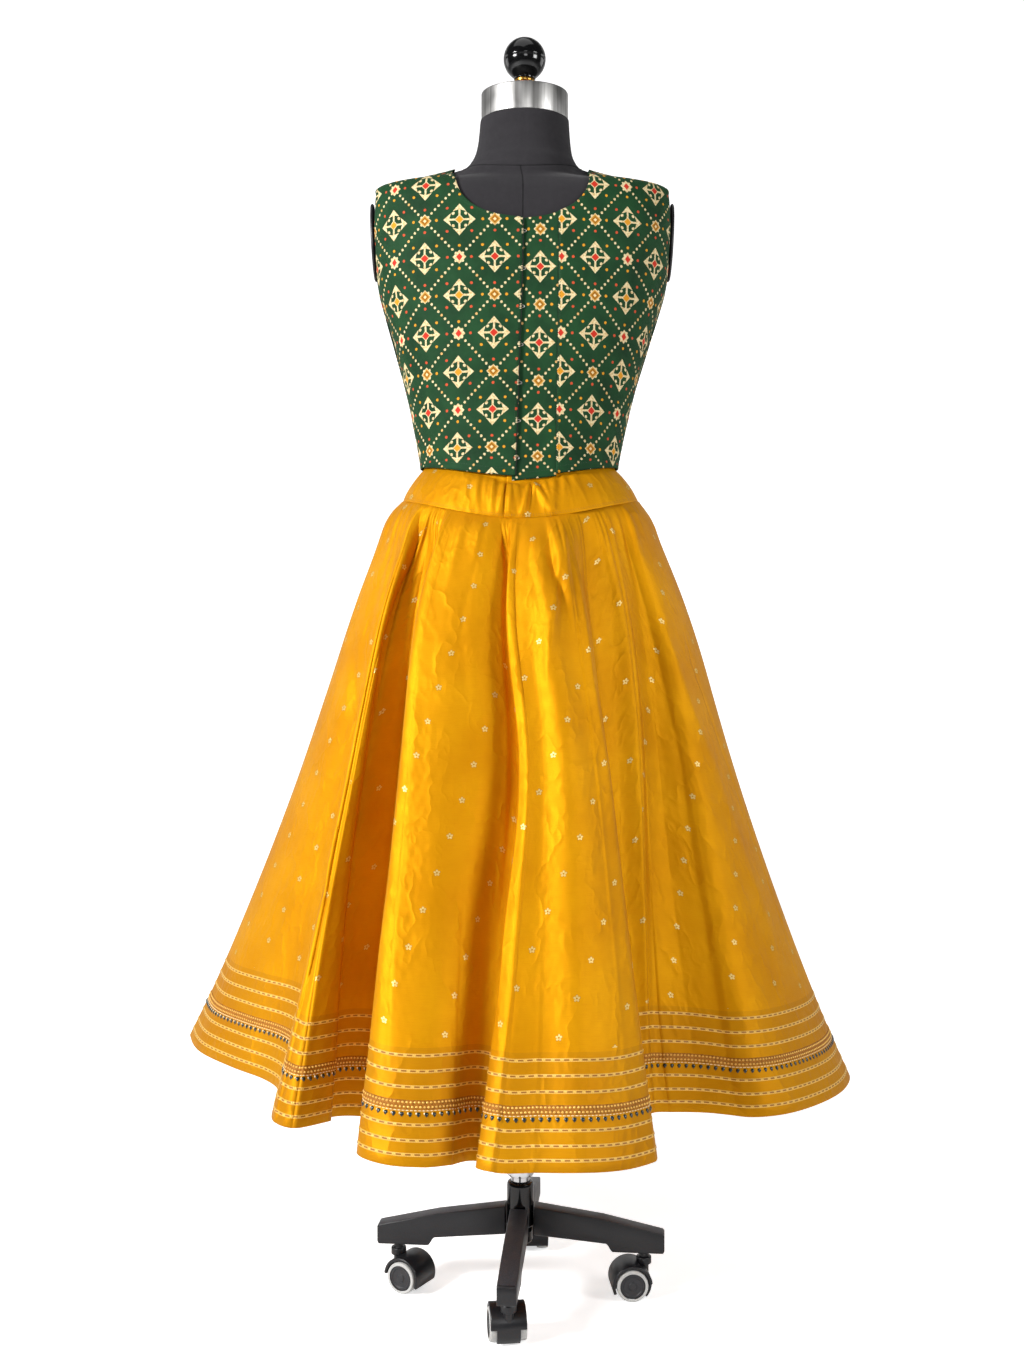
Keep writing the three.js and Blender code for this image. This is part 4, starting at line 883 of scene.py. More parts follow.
def addLegs():
    reach = standSet["legReach"]
    outline = [(17.9, 75.2), (60, 71.6), (108.4, 67.3)]
    outline += [(108.4 + 9 * t, 67.3 - 10.3 * (t * t * (3 - 2 * t))) for t in (0.2, 0.4, 0.6, 0.8, 1)]
    outline += [(150, 57), (reach - 1.5, 57), (reach, 60.5), (reach, 79.3), (reach - 1.6, 81.8)]
    outline += [(105, 98.5), (17.9, 111)]
    points, faces = prism(outline, standSet["legWidth"])
    # the top faces take the lighter grey: painted light from above
    top = (len(outline) - 2, len(outline) - 3)
    slots = [0, 0] + [1 if i in top else 0 for i in range(len(outline))]
    for name, turn, _ in standSet["places"]:
        mesh = meshFrom(f"leg_{name}_moulded", points, faces, slots=slots)
        leg = finishObject(mesh.name, mesh, [satinBlack, legTopPaintedLight], rootBody, [f"leg_{name}"])
        bevelled(leg, standSet["legEdge"], 40)
        leg.data.transform(turnMatrix(standSet["baseTurn"]) @ turnMatrix(turn))


def hoodOutline(start, end, inner, outer, steps):
    angles = np.radians(np.linspace(start, end, steps))
    return [(outer * math.cos(a), outer * math.sin(a)) for a in angles] + [
        (inner * math.cos(a), inner * math.sin(a)) for a in angles[::-1]]


def addCastors():
    for name, turn, swing in standSet["places"]:
        spot = turnMatrix(standSet["baseTurn"]) @ turnMatrix(turn)
        spot = spot @ turnMatrix(0, (standSet["stemReach"], 0, 0)) @ turnMatrix(swing)
        body = f"castor_{name}"
        for label, arc, width, edge in castorSet["hood"]:
            points, faces = prism(hoodOutline(*arc), width)
            points = [(x - standSet["stemOffset"], y, z + inRadius) for x, y, z in points]
            mesh = meshFrom(f"hood_{name}_{label}", points, faces)
            stands = [body] if label == "shell" else []
            piece = finishObject(mesh.name, mesh, satinBlack, body, stands)
            bevelled(piece, edge, 35)
            piece.data.transform(spot)
        mesh = turnedMesh(f"hood_{name}_stem", rounded(castorSet["stem"], 0.7, 3), 40)
        mesh.transform(spot)
        finishObject(mesh.name, mesh, satinBlack, body)
        for index, side in ((1, -1), (2, 1)):
            addWheel(name, index, side, spot)


def addWheel(name, index, side, spot):
    half = castorSet["wheelWidth"] / 2
    r = inRadius + castorSet["grow"]
    tread = rounded([(15.9, -half + 0.4), (r - 0.9, -half), (r, -half + 2.6), (r, half - 2.6),
                     (r - 0.9, half), (15.9, half - 0.4)], 1.2, 4)
    disc = rounded([(0.01, -half + 1.4), (15.9, -half + 1.4), (15.9, half - 1.4), (12.5, half - 0.7),
                    (11.6, half - 1.9), (5.4, half - 1.9), (4.6, half - 0.5), (0.01, half - 0.5)], 0.5, 3)
    angles = np.linspace(0, 2 * math.pi, 64, endpoint=False)
    for label, profile, material in (("tread", tread, treadGrey), ("disc", disc, discGrey)):
        points = [(q * math.cos(a) - standSet["stemOffset"], side * (castorSet["innerY"] + half + y),
                   q * math.sin(a) + inRadius) for q, y in profile for a in angles]
        faces = gridFaces(len(profile), 64, closed=True, flip=side > 0)
        mesh = meshFrom(f"wheel_{name}_{index}_{label}", points, faces)
        mesh.transform(spot)
        wheel = f"wheel_{name}_{index}"
        finishObject(mesh.name, mesh, material, wheel, [wheel] if label == "tread" else [])


poleSet = {
    "tube": [(0.01, 141.3), (12.6, 141.3), (12.6, 805.7), (0.01, 805.7)],
    "collar": [(12.8, 149), (16.6, 149), (17, 151), (17, 162.6), (15.5, 165), (12.8, 165)],
    "hub": [(0.01, 64), (14.6, 64), (15.4, 66), (15.4, 84), (17, 86), (17, 136.4), (16.2, 139.6), (14.6, 141), (0.01, 141)],
}


def addPole():
    mesh = turnedMesh("poleTube", rounded(poleSet["tube"], 0.4, 2), 64)
    finishObject("poleTube", mesh, chrome, stands=["pole"])
    mesh = turnedMesh("poleCollar", rounded(poleSet["collar"], 0.6, 3), 64)
    finishObject("poleCollar", mesh, chrome, stands=["pole_collar"])
    mesh = turnedMesh("hubBody", rounded(poleSet["hub"], 0.8, 4), 80)
    finishObject("hubBody", mesh, glossBlack, stands=["hub"])


addPole()
addLegs()
addCastors()
print("stand built")

blouseSet = {
    "thickness": 1.1, "hemFold": 9.0, "bustEase": 1.6, "bustAt": 1205, "gap": 0.2,
    "ease": [(1000, 5.5), (1052, 5.5), (1077, 4.1), (1107, 3.1), (1140, 2.8), (1330, 2.8), (1372, 2), (1402, 1.9)],
    "openingTop": 0.5, "openingHem": -5.0, "stripLeft": -9.0, "stripRight": 42.0,
    "printLeft": (-32.5, 1276.0, 41.5), "printRight": (85.0, 1276.0, 39.5), "printStrip": (20.7, 1264.5, 40.5),
    "printFront": (0.0, 1240.0, 41.0), "softEdge": 26.0, "stripSunk": 1.75,
    "flat": {"left": (0.24, 0.39), "right": (0.2, 0.39), "front": (0.48, 0.39), "strip": (0.056, 0.33)},
}
# edge at the centre or neckline (x, z) and edge at the side seam or armhole (depth, z)
backRows = np.array([
    (0, 1020, 0, 1037), (0, 1036, 0, 1051), (0, 1058, 0, 1070), (0, 1087, 0, 1096), (0, 1120, 0, 1126),
    (0, 1155, 0, 1158), (0, 1190, 0, 1190), (0, 1226, 0, 1224), (0, 1262, 0, 1254), (0, 1298, 20, 1268),
    (0, 1322, 32, 1295), (20, 1324.6, 33, 1322), (40, 1329, 33, 1344), (58, 1338, 29, 1359.5),
    (69.5, 1349, 24, 1367.5), (75.8, 1359.5, 18, 1372.5), (79, 1370, 13, 1375.4), (80.6, 1380, 9, 1377),
    (81.4, 1390, 5, 1378.2), (81.9, 1398, 2, 1378.8), (82, 1403, 0, 1379),
])
frontRows = np.array([
    (0, 1025, 0, 1037), (0, 1040, 0, 1051), (0, 1062, 0, 1070), (0, 1090, 0, 1096), (0, 1122, 0, 1126),
    (0, 1154, 0, 1158), (0, 1186, 0, 1190), (0, 1216, 0, 1224), (0, 1244, 0, 1254), (0, 1268, 20, 1268),
    (0, 1288, 32, 1295), (26, 1291, 33, 1322), (48, 1303, 33, 1344), (62, 1321, 29, 1359.5),
    (71, 1342, 24, 1367.5), (76, 1359, 18, 1372.5), (79, 1373, 13, 1375.4), (80.6, 1383, 9, 1377),
    (81.4, 1391, 5, 1378.2), (81.9, 1398, 2, 1378.8), (82, 1403, 0, 1379),
])


def blouseEase(z):
    table = np.array(blouseSet["ease"])
    return np.interp(z, table[:, 0], table[:, 1])


def blouseHemZ(bearing):
    cos = np.cos(bearing)
    return 1037 - np.where(cos > 0, 17, 12) * cos ** 2


def neckZ(x):
    return smooth(backRows[10:, 0], backRows[10:, 1], np.abs(x))


def openingX(z):
    share = np.clip((z - 1020) / 302, 0, 1)
    return blouseSet["openingHem"] + (blouseSet["openingTop"] - blouseSet["openingHem"]) * share


def rowValues(table, column, j):  # the neckline bends sharply at row 10
    low = smooth(np.arange(11), table[:11, column], np.minimum(j, 10))
    high = smooth(np.arange(10, len(table)), table[10:, column], np.maximum(j, 10))
    if column in (2, 3):
        return np.maximum(0, smooth(np.arange(len(table)), table[:, column], j))
    return np.where(j <= 10, low, high)


rowsBetween = 6  # mesh rows from one row of the tables to the next
neckRow = 10 * rowsBetween  # the mesh row where the neckline starts


def blouseGrid(table, side, onBack, centreX, columns=57):
    steps = (len(table) - 1) * rowsBetween + 1
    j = np.linspace(0, len(table) - 1, steps)
    x, z, depth, sideZ = (rowValues(table, c, j) for c in range(4))
    inner = side * np.maximum(x, 0)
    if onBack:
        inner = np.where(j <= 10, centreX(z), inner)
    if onBack and side > 0:
        inner = np.maximum(inner, blouseSet["stripRight"] + blouseSet["gap"])
        z = np.where(j > 10, np.maximum(z, neckZ(inner) - np.maximum(1329 - z, 0) * 0.5), z)
    start = bearingAtX(inner, z, onBack)
    end = bearingAtDepth(np.maximum(depth, 0.02), sideZ, side, onBack)
    end = np.where(depth > 0.02, end, side * math.pi / 2)
    if not onBack:
        start, end = start % (2 * math.pi), end % (2 * math.pi)
    fine = np.linspace(0, 1, 81)
    fade = np.maximum(0, 1 - j / 6)[:, None]

    def place(share):
        bearing = start[:, None] + (end - start)[:, None] * share
        straight = table[0, 1] + (table[0, 3] - table[0, 1]) * share
        return bearing, z[:, None] + (sideZ - z)[:, None] * share + (blouseHemZ(bearing) - straight) * fade

    path = formPoint(*place(np.tile(fine, (steps, 1))))
    length = runAlong(path, 1)
    goals = np.linspace(0, 1, columns)
    shares = np.stack([np.interp(goals * row[-1], row, fine) for row in length])
    bearing, height = place(shares)
    if (side < 0) == onBack:
        bearing, height = bearing[:, ::-1], height[:, ::-1]
    return bearing, height


# soft creases: x and z of the middle, direction, half length, half width and height in mm
blouseCreases = [
    (-60, 1080, 0.25, 34, 7, 0.9), (-95, 1110, 0.5, 30, 6, 0.8), (-28, 1064, 0.1, 26, 6, 0.8),
    (70, 1082, -0.3, 34, 7, 0.9), (104, 1112, -0.55, 30, 6, 0.8), (-120, 1262, 1.2, 30, 7, 0.8),
    (124, 1266, -1.2, 30, 7, 0.8), (-40, 1180, 1.5, 46, 8, 0.5), (66, 1190, -1.5, 46, 8, 0.5),
    (-12, 1120, 1.45, 30, 5, 0.6), (-14, 1220, 1.6, 34, 5, 0.6), (-90, 1330, 0.2, 26, 7, 0.6),
]


def softCreases(points):
    out = np.zeros(points.shape[:2])
    for x, z, turn, reach, width, height in blouseCreases:
        dx, dz = points[..., 0] - x, points[..., 2] - z
        along, across = dx * math.cos(turn) + dz * math.sin(turn), dz * math.cos(turn) - dx * math.sin(turn)
        out += height * np.exp(-(along / reach) ** 2 - (across / width) ** 2)
    return out * (points[..., 1] < 0)


def blousePiece(name, node, grid, onBack, phase, trim, extra=0.0, slot=None):
    bearing, height = grid
    ease = blouseEase(height)
    if not onBack:
        ease = ease + blouseSet["bustEase"] * np.exp(-((height - blouseSet["bustAt"]) / 50) ** 2)
    ease = ease + extra
    base = formPoint(bearing, height)
    normal = formNormal(bearing, height)
    ease = ease + softCreases(base) * (0 if name == "choliPlacket" else 1)
    inner = base + normal * (ease + 0.1)[..., None]
    outer = base + normal * (ease + 0.1 + blouseSet["thickness"] + trim)[..., None]
    centre = np.where(np.cos(bearing) > 0, 0, math.pi)
    fine = np.linspace(0, 1, 25)
    arc = formPoint(centre[..., None] + (bearing - centre)[..., None] * fine, height[..., None] + 0 * fine)
    across = np.linalg.norm(np.diff(arc, axis=2), axis=3).sum(2) * np.sign(bearing - centre)
    u0, v0, cell = phase
    uv = np.stack([(across - u0) * printSet["cellWidth"] / cell, height - v0], -1)
    mesh = shellMesh(name, inner, outer, uv, slot=slot)
    obj = finishObject(name, mesh, printCloth, stands=[node])
    parts = [outer] if slot is None else [outer[:, :slot[0] + 1], outer[:, slot[0] + 1:]]
    area = sum(sheetArea(part) for part in parts)
    print(f"{name} area {area:.4f}")
    return obj, outer, normal, area


def edgeFold(grid, edges=("bottom",)):  # a little more thickness where the cloth is turned in
    bearing, height = grid
    points = formPoint(bearing, height)
    out = np.zeros(bearing.shape)
    across, up = runAlong(points, 1), runAlong(points)
    ways = {"bottom": up, "top": up[-1:] - up, "first": across, "last": across[:, -1:] - across}
    for edge in edges:
        out = np.maximum(out, 0.4 / (1 + np.exp((ways[edge] - blouseSet["hemFold"]) / 0.7)))
        out = np.maximum(out, 0) - 0.25 * np.exp(-((ways[edge] - blouseSet["hemFold"]) / 0.9) ** 2)
    return out


def stripGrid():
    low, high = blouseSet["stripLeft"], blouseSet["stripRight"]
    x = np.linspace(low, high - 0.2, 30)
    top = neckZ(x) - 0.6
    bottom = 1020 - 6 + 6 * (x - low) / (high - low)
    height = bottom[None] + (top - bottom)[None] * np.linspace(0, 1, 110)[:, None]
    bearing = bearingAtX(np.broadcast_to(x, height.shape), height, True)
    rise = np.maximum(0, (x - blouseSet["softEdge"]) / (high - blouseSet["softEdge"]))
    sink = -blouseSet["stripSunk"] * (1 - rise) - 0.6 * np.clip((10 - x) / 8, 0, 1)
    return (bearing, height), np.broadcast_to(sink, height.shape)


def rightEdgeX(z):
    return np.full_like(z, blouseSet["stripRight"] + blouseSet["gap"])


def addBlouse():
    pieces = {}
    grid = blouseGrid(backRows, -1, True, openingX)
    trim = edgeFold(grid, ("bottom", "last"))
    pieces["left"] = blousePiece("choliBackLeft", "choli_back_left", grid, True, blouseSet["printLeft"], trim)
    grid = blouseGrid(backRows, 1, True, rightEdgeX)
    phase = blouseSet["printRight"]
    pieces["right"] = blousePiece("choliBackRight", "choli_back_right", grid, True, phase, edgeFold(grid))
    right, left = (blouseGrid(frontRows, side, False, None) for side in (1, -1))
    grid = [np.concatenate([a, b], 1) for a, b in zip(right, left)]
    slot = (right[0].shape[1] - 1, neckRow)
    phase = blouseSet["printFront"]
    pieces["front"] = blousePiece("choliFront", "choli_front", grid, False, phase, edgeFold(grid), slot=slot)
    grid, sink = stripGrid()
    trim, phase = edgeFold(grid) - 0.2, blouseSet["printStrip"]
    pieces["strip"] = blousePiece("choliPlacket", "choli_placket", grid, True, phase, trim, sink)
    return pieces


blouse = addBlouse()
print("blouse built")


def scatter(name, template, places, material):  # one mesh of many small copies
    spots, outs, tangents = places
    shape, faces = template
    shape = np.asarray(shape, float)
    up = unit(np.cross(outs, tangents))
    side = np.cross(up, outs)
    points = (spots[:, None] + side[:, None] * shape[None, :, :1] + up[:, None] * shape[None, :, 1:2]
              + outs[:, None] * shape[None, :, 2:3])
    count = len(shape)
    allFaces = [[v + n * count for v in face] for n in range(len(spots)) for face in faces]
    uv = np.tile(shape[:, :2], (len(spots), 1))
    return finishObject(name, meshFrom(name, points.reshape(-1, 3), allFaces, uv), material)


def domeTemplate(rx, ry, rz, around=8, rings=3, sink=0.2):
    points, faces = [], []
    for i in range(rings):
        a = (math.pi / 2) * i / rings
        for j in range(around):
            b = 2 * math.pi * j / around
            across, along = rx * math.cos(a) * math.cos(b), ry * math.cos(a) * math.sin(b)
            points.append((across, along, rz * math.sin(a) - sink))
    points.append((0, 0, rz - sink))
    for i in range(rings - 1):
        for j in range(around):
            a, b = i * around + j, i * around + (j + 1) % around
            faces.append([a, b, b + around, a + around])
    top = (rings - 1) * around
    faces += [[top + j, top + (j + 1) % around, len(points) - 1] for j in range(around)]
    faces.append(list(reversed(range(around))))
    return points, faces


def insetLine(grid, normals, edge, distance):  # a line that keeps its distance from one edge of a piece
    if edge in ("first", "last"):
        grid, normals = grid.transpose(1, 0, 2), normals.transpose(1, 0, 2)
    if edge in ("top", "last"):
        grid, normals = grid[::-1], normals[::-1]
    run = runAlong(grid)
    points, outs = (np.stack([[np.interp(distance, run[:, c], field[:, c, a]) for a in range(3)]
                              for c in range(grid.shape[1])]) for field in (grid, normals))
    return points, unit(outs)


def stitches(name, lines, step, size, material):  # short stitches along lines of points and normals
    spots, outs, tangents = [], [], []
    for points, normals in lines:
        length = runAlong(points)
        goals = np.arange(step / 2, length[-1], step)
        here = np.stack([np.interp(goals, length, points[:, a]) for a in range(3)], 1)
        spots.append(here)
        outs.append(unit(np.stack([np.interp(goals, length, normals[:, a]) for a in range(3)], 1)))
        tangents.append(unit(np.gradient(here, axis=0)))
    places = [np.concatenate(v) for v in (spots, outs, tangents)]
    return scatter(name, domeTemplate(*size, rings=2, sink=0.1), places, material)


# distances of the stitch lines from the hem, neckline and armholes, and a stitch's half sizes
stitchSet = {"hem": 8.2, "neck": 2.6, "arm": 3.2, "armRow": 50, "size": (1.1, 0.3, 0.3)}
# radius and sinking of the dark tube that paints the shadow line along the hooked opening
openingSet = {"shadowTubeRadius": 0.75, "shadowTubeSunk": 0.55}
hookSet = {"first": 1042.0, "step": 44.0, "count": 7, "wire": 0.55}
hookLevels = [hookSet["first"] + n * hookSet["step"] for n in range(hookSet["count"])]


def addBlouseStitches():
    lines = [insetLine(grid, normal, "bottom", stitchSet["hem"]) for _, grid, normal, _ in blouse.values()]
    stitches("choliHemStitches", lines, 3.4, (1.15, 0.3, 0.3), greenStitch)
    (_, left, leftOut, _), (_, right, rightOut, _), (_, front, frontOut, _) = (
        blouse[key] for key in ("left", "right", "front"))
    upTo, above, soft = slice(None, neckRow + 1), slice(neckRow, None), slice(rowsBetween, neckRow + 1)
    lines = [insetLine(left[upTo], leftOut[upTo], "last", 3.0), insetLine(right[upTo], rightOut[upTo], "first", 2.2)]
    stitches("openingStitches", lines, 3.2, stitchSet["size"], greenStitch)
    lines = [insetLine(right[soft], rightOut[soft], "first", 0.0)]
    stitches("stripSeamStitches", lines, 2.6, (0.9, 0.35, 0.3), seamThreadAndShadowGreen)
    half = front.shape[1] // 2
    halves = [(front[:, :half], frontOut[:, :half]), (front[:, half:], frontOut[:, half:])]
    sides = [(left, leftOut, "last", "first"), (right, rightOut, "first", "last"),
             (*halves[0], "last", "first"), (*halves[1], "first", "last")]
    neck, arms = [], []
    for grid, out, neckEdge, armEdge in sides:
        start = neckRow + rowsBetween if grid is right else neckRow
        neck.append(insetLine(grid[start:], out[start:], neckEdge, stitchSet["neck"]))
        arms.append(insetLine(grid[stitchSet["armRow"]:], out[stitchSet["armRow"]:], armEdge, stitchSet["arm"]))
    stitches("neckStitches", neck, 3.2, stitchSet["size"], greenStitch)
    stitches("armholeStitches", arms, 3.2, stitchSet["size"], greenStitch)
    addOpening(left[upTo], leftOut[upTo])


def addOpening(left, leftOut):  # painted shadow: a dark tube tucked under the crisp edge stands for the shadow line there, and the threads that hold the hooks
    edge, out = insetLine(left, leftOut, "last", 0.0)
    drift = 0.35 * np.sin(edge[:, 2] / 3.1) + 0.25 * np.sin(edge[:, 2] / 1.7)
    # painted shadow: dark tube sunk under the edge to stand for the shadow line
    shadowTube = edge - out * openingSet["shadowTubeSunk"]
    shadowTube[:, 0] += 0.35 + drift
    points, faces, uv = tubeAlong([shadowTube], openingSet["shadowTubeRadius"], 8, [out])
    finishObject("openingShadowTube", meshFrom("openingShadowTube", points, faces, uv), seamThreadAndShadowGreen)
    edge, out = insetLine(left, leftOut, "last", 0.4)
    spots, outs = [], []
    for level in hookLevels:
        for drift in (-2.6, -0.9, 0.9, 2.6):
            spots.append([np.interp(level + drift, edge[:, 2], edge[:, a]) for a in range(3)])
            outs.append([np.interp(level + drift, edge[:, 2], out[:, a]) for a in range(3)])
    across = np.tile([1.0, 0, 0], (len(spots), 1))
    places = (np.array(spots), unit(np.array(outs)), across)
    scatter("hookThreads", domeTemplate(1.5, 0.42, 0.45, sink=0.1), places, creamThread)


def addHooks():
    paths, normals = [], []
    for level in hookLevels:
        x = np.array([-1.5, 1.8, 3.0, 3.4, 3.0, 1.8, -1.5]) + float(openingX(level)) + 0.6
        z = level + np.array([-1.4, -1.4, -0.9, 0, 0.9, 1.4, 1.4])
        bearing = bearingAtX(x, z, True)
        paths.append(onForm(bearing, z, blouseEase(z) + 0.35))
        normals.append(formNormal(bearing, z))
    points, faces, uv = tubeAlong(paths, hookSet["wire"], 8, normals)
    finishObject("choliHooks", meshFrom("choliHooks", points, faces, uv), hookSteel)


addBlouseStitches()
addHooks()
print("blouse threads built")

skirtSet = {
    "perFold": 8, "perSeenFold": 20, "seen": (5, 36), "rows": 90, "thickness": 1.0, "hemLevel": 298.0, "hemTilt": 16 / 410, "hemMean": 365.0,
    "seamHalf": 145.0, "seamDepth": 117.0, "seamGap": 0.2,
}
flare = np.array([
    (-0.05, -0.05, 0.03), (0, 0, 0.03), (0.02, 0.04, 0.06), (0.08, 0.115, 0.13), (0.17, 0.214, 0.23),
    (0.35, 0.37, 0.4), (0.53, 0.52, 0.57), (0.71, 0.688, 0.73), (0.9, 0.88, 0.91), (1, 1, 1),
    (1.05, 1.06, 1.05),
])
# bearings of each fold at five heights, its radius at the hem, its lift between seam and hem
folds = [
    (-97, -97, -97, -97, -97.5, 428, -7), (-93, -92, -92.5, -93, -94, 422, -7), (-84, -83, -84, -85, -86, 400, -4),
    (-76, -74, -74, -75, -75.7, 360, 0), (-71, -68, -66.5, -66, -65.6, 330, 0), (-67, -63, -60.5, -59.5, -58.4, 329, 0),
    (-62, -58.5, -55, -52.5, -50, 360, 0), (-57, -55.3, -51, -47, -42.5, 394, 4), (-54, -53, -49, -44.7, -38.6, 392, 4),
    (-51.5, -51.2, -47.6, -42.8, -36.6, 350, 0), (-49, -49, -45.8, -40.7, -34.6, 305, -6),
    (-46, -45.6, -41.2, -36, -30.6, 296, -10), (-43, -41.5, -36.4, -31.3, -27, 312, -6),
    (-40.5, -38.8, -33.6, -28.7, -25, 380, 2), (-38, -37, -31.8, -27, -23, 418, 4),
    (-34, -33.3, -28.4, -23.6, -18.6, 431, 0), (-27, -26.5, -22.5, -18, -13.6, 423, 0),
    (-19, -18.5, -14.6, -12.4, -9.9, 404, -2), (-11, -10.8, -6.4, -7.6, -7.3, 388, -10),
    (-7.5, -7.6, -2.6, -5, -6.2, 392, -12), (-4.6, -4.7, 0, -2.8, -5.5, 414, 0), (-2, -2.3, 2, -0.9, -3.6, 422, 4),
    (4, 4, 6, 3.6, 1.6, 418, 0), (12, 11.5, 12, 10.2, 8.6, 420, 0), (19, 19, 18.6, 16.9, 15.2, 409, 0),
    (24.5, 24.7, 23.6, 22.3, 20.8, 385, 3), (28, 27.6, 25.8, 24.3, 22.9, 346, 0), (33, 32, 29.6, 27.8, 26.4, 285, -6),
    (40, 41, 38.6, 34.4, 31.8, 259, 0), (45, 48, 46.4, 40.8, 36.6, 254, 12), (48.5, 51.5, 50.4, 44.4, 40.2, 262, 4),
    (54, 57, 56.5, 51.6, 46.8, 288, -4), (59, 62, 61.5, 57.5, 51.5, 332, 0), (65, 67, 67, 63.5, 57, 355, 0),
    (74, 75, 75.4, 73, 67, 378, 0), (82, 82.5, 83, 81.8, 78, 400, -3), (90, 90, 90, 90, 88, 411, -4),
    (98, 98, 98, 98, 97, 403, -3), (105, 362), (111, 318), (118, 302), (125, 322), (131, 372), (139, 404), (147, 406),
    (154, 378), (159.5, 330), (165, 306), (170.5, 324), (175.5, 384), (182, 414), (189, 410), (196, 370), (201.5, 324),
    (207, 306), (213, 326), (218.5, 374), (226, 404), (233, 398), (239, 362), (244, 324), (249, 312), (254, 346), (258.5, 396),
]
folds = np.array([f if len(f) == 7 else (f[0],) * 5 + (f[1], 0) for f in folds], float)
panelSeams = [11, 29, 36, 40, 47, 54, 60]  # fold lines on which the panels are sewn together
foldCount = len(folds)


def seamRadius(bearing):
    across, along = np.abs(np.sin(bearing)) / skirtSet["seamHalf"], np.abs(np.cos(bearing)) / skirtSet["seamDepth"]
    return (across ** 2.2 + along ** 2.2) ** (-1 / 2.2)


def seamZ(bearing):
    cos = np.cos(bearing)
    return 996 - np.where(cos > 0, 27, 20) * cos ** 2


def foldLines(s):  # (heights, folds, 3)
    s = np.asarray(s, float)
    bearing = np.radians(np.stack([smooth((0, 0.15, 0.4, 0.7, 1), f[:5], s) for f in folds], 1))
    opened = smooth(flare[:, 0], flare[:, 1], s)[:, None]
    depth = smooth(flare[:, 0], flare[:, 2], s)[:, None]
    start = seamRadius(bearing)
    lift = folds[None, :, 6] * np.sin(math.pi * np.clip(s, 0, 1))[:, None]
    radius = start + (skirtSet["hemMean"] - start) * opened + depth * (folds[None, :, 5] - skirtSet["hemMean"]) + lift
    hemX = folds[:, 5] * np.sin(np.radians(folds[:, 4]))
    top = seamZ(np.radians(folds[:, 0]))
    z = top[None] + (skirtSet["hemLevel"] - skirtSet["hemTilt"] * hemX - top)[None] * s[:, None]
    return np.stack([radius * np.sin(bearing), -radius * np.cos(bearing), z], -1)


def skirtPoints(s, k):  # smooth closed curve through the fold lines
    lines = foldLines(s)
    i = np.floor(k).astype(int)
    t = (np.asarray(k, float) - i)[None, :, None]
    p0, p1, p2, p3 = (lines[:, (i + n) % foldCount] for n in (-1, 0, 1, 2))
    d0, d1, d2 = (np.sqrt(np.linalg.norm(b - a, axis=-1, keepdims=True)) for a, b in ((p0, p1), (p1, p2), (p2, p3)))
    t1 = ((p1 - p0) / d0 - (p2 - p0) / (d0 + d1) + (p2 - p1) / d1) * d1
    t2 = ((p2 - p1) / d1 - (p3 - p1) / (d1 + d2) + (p3 - p2) / d2) * d1
    return p1 + t1 * t + (-3 * p1 + 3 * p2 - 2 * t1 - t2) * t * t + (2 * p1 - 2 * p2 + t1 + t2) * t ** 3


rippleSet = {"seed": 11, "gathers": 170, "long": 60}


def ripples(s, k):  # outward offset of the small gathers and soft creases, millimetres
    chance = np.random.default_rng(rippleSet["seed"])
    out = np.zeros((len(s), len(k)))
    ss = s[:, None]
    for _ in range(rippleSet["gathers"]):
        at, width, size, reach, drift = (chance.uniform(*r) for r in
                                         ((0, foldCount), (0.12, 0.34), (0.8, 2.8), (0.03, 0.12), (-2, 2)))
        away = (k[None] - at - drift * ss + foldCount / 2) % foldCount - foldCount / 2
        out += size * np.exp(-(away / width) ** 2) * np.exp(-(ss / reach) ** 2)
    for _ in range(rippleSet["long"]):
        at, width, size, level, reach, drift = (chance.uniform(*r) for r in
                                                ((0, foldCount), (0.3, 0.8), (-1.6, 2.2), (0.15, 0.85), (0.1, 0.3), (-2.5, 2.5)))
        away = (k[None] - at - drift * (ss - level) + foldCount / 2) % foldCount - foldCount / 2
        out += size * np.exp(-(away / width) ** 2) * np.exp(-((ss - level) / reach) ** 2)
    return out


foldColumns = [skirtSet["perSeenFold" if skirtSet["seen"][0] <= n < skirtSet["seen"][1] else "perFold"]
               for n in range(foldCount)]

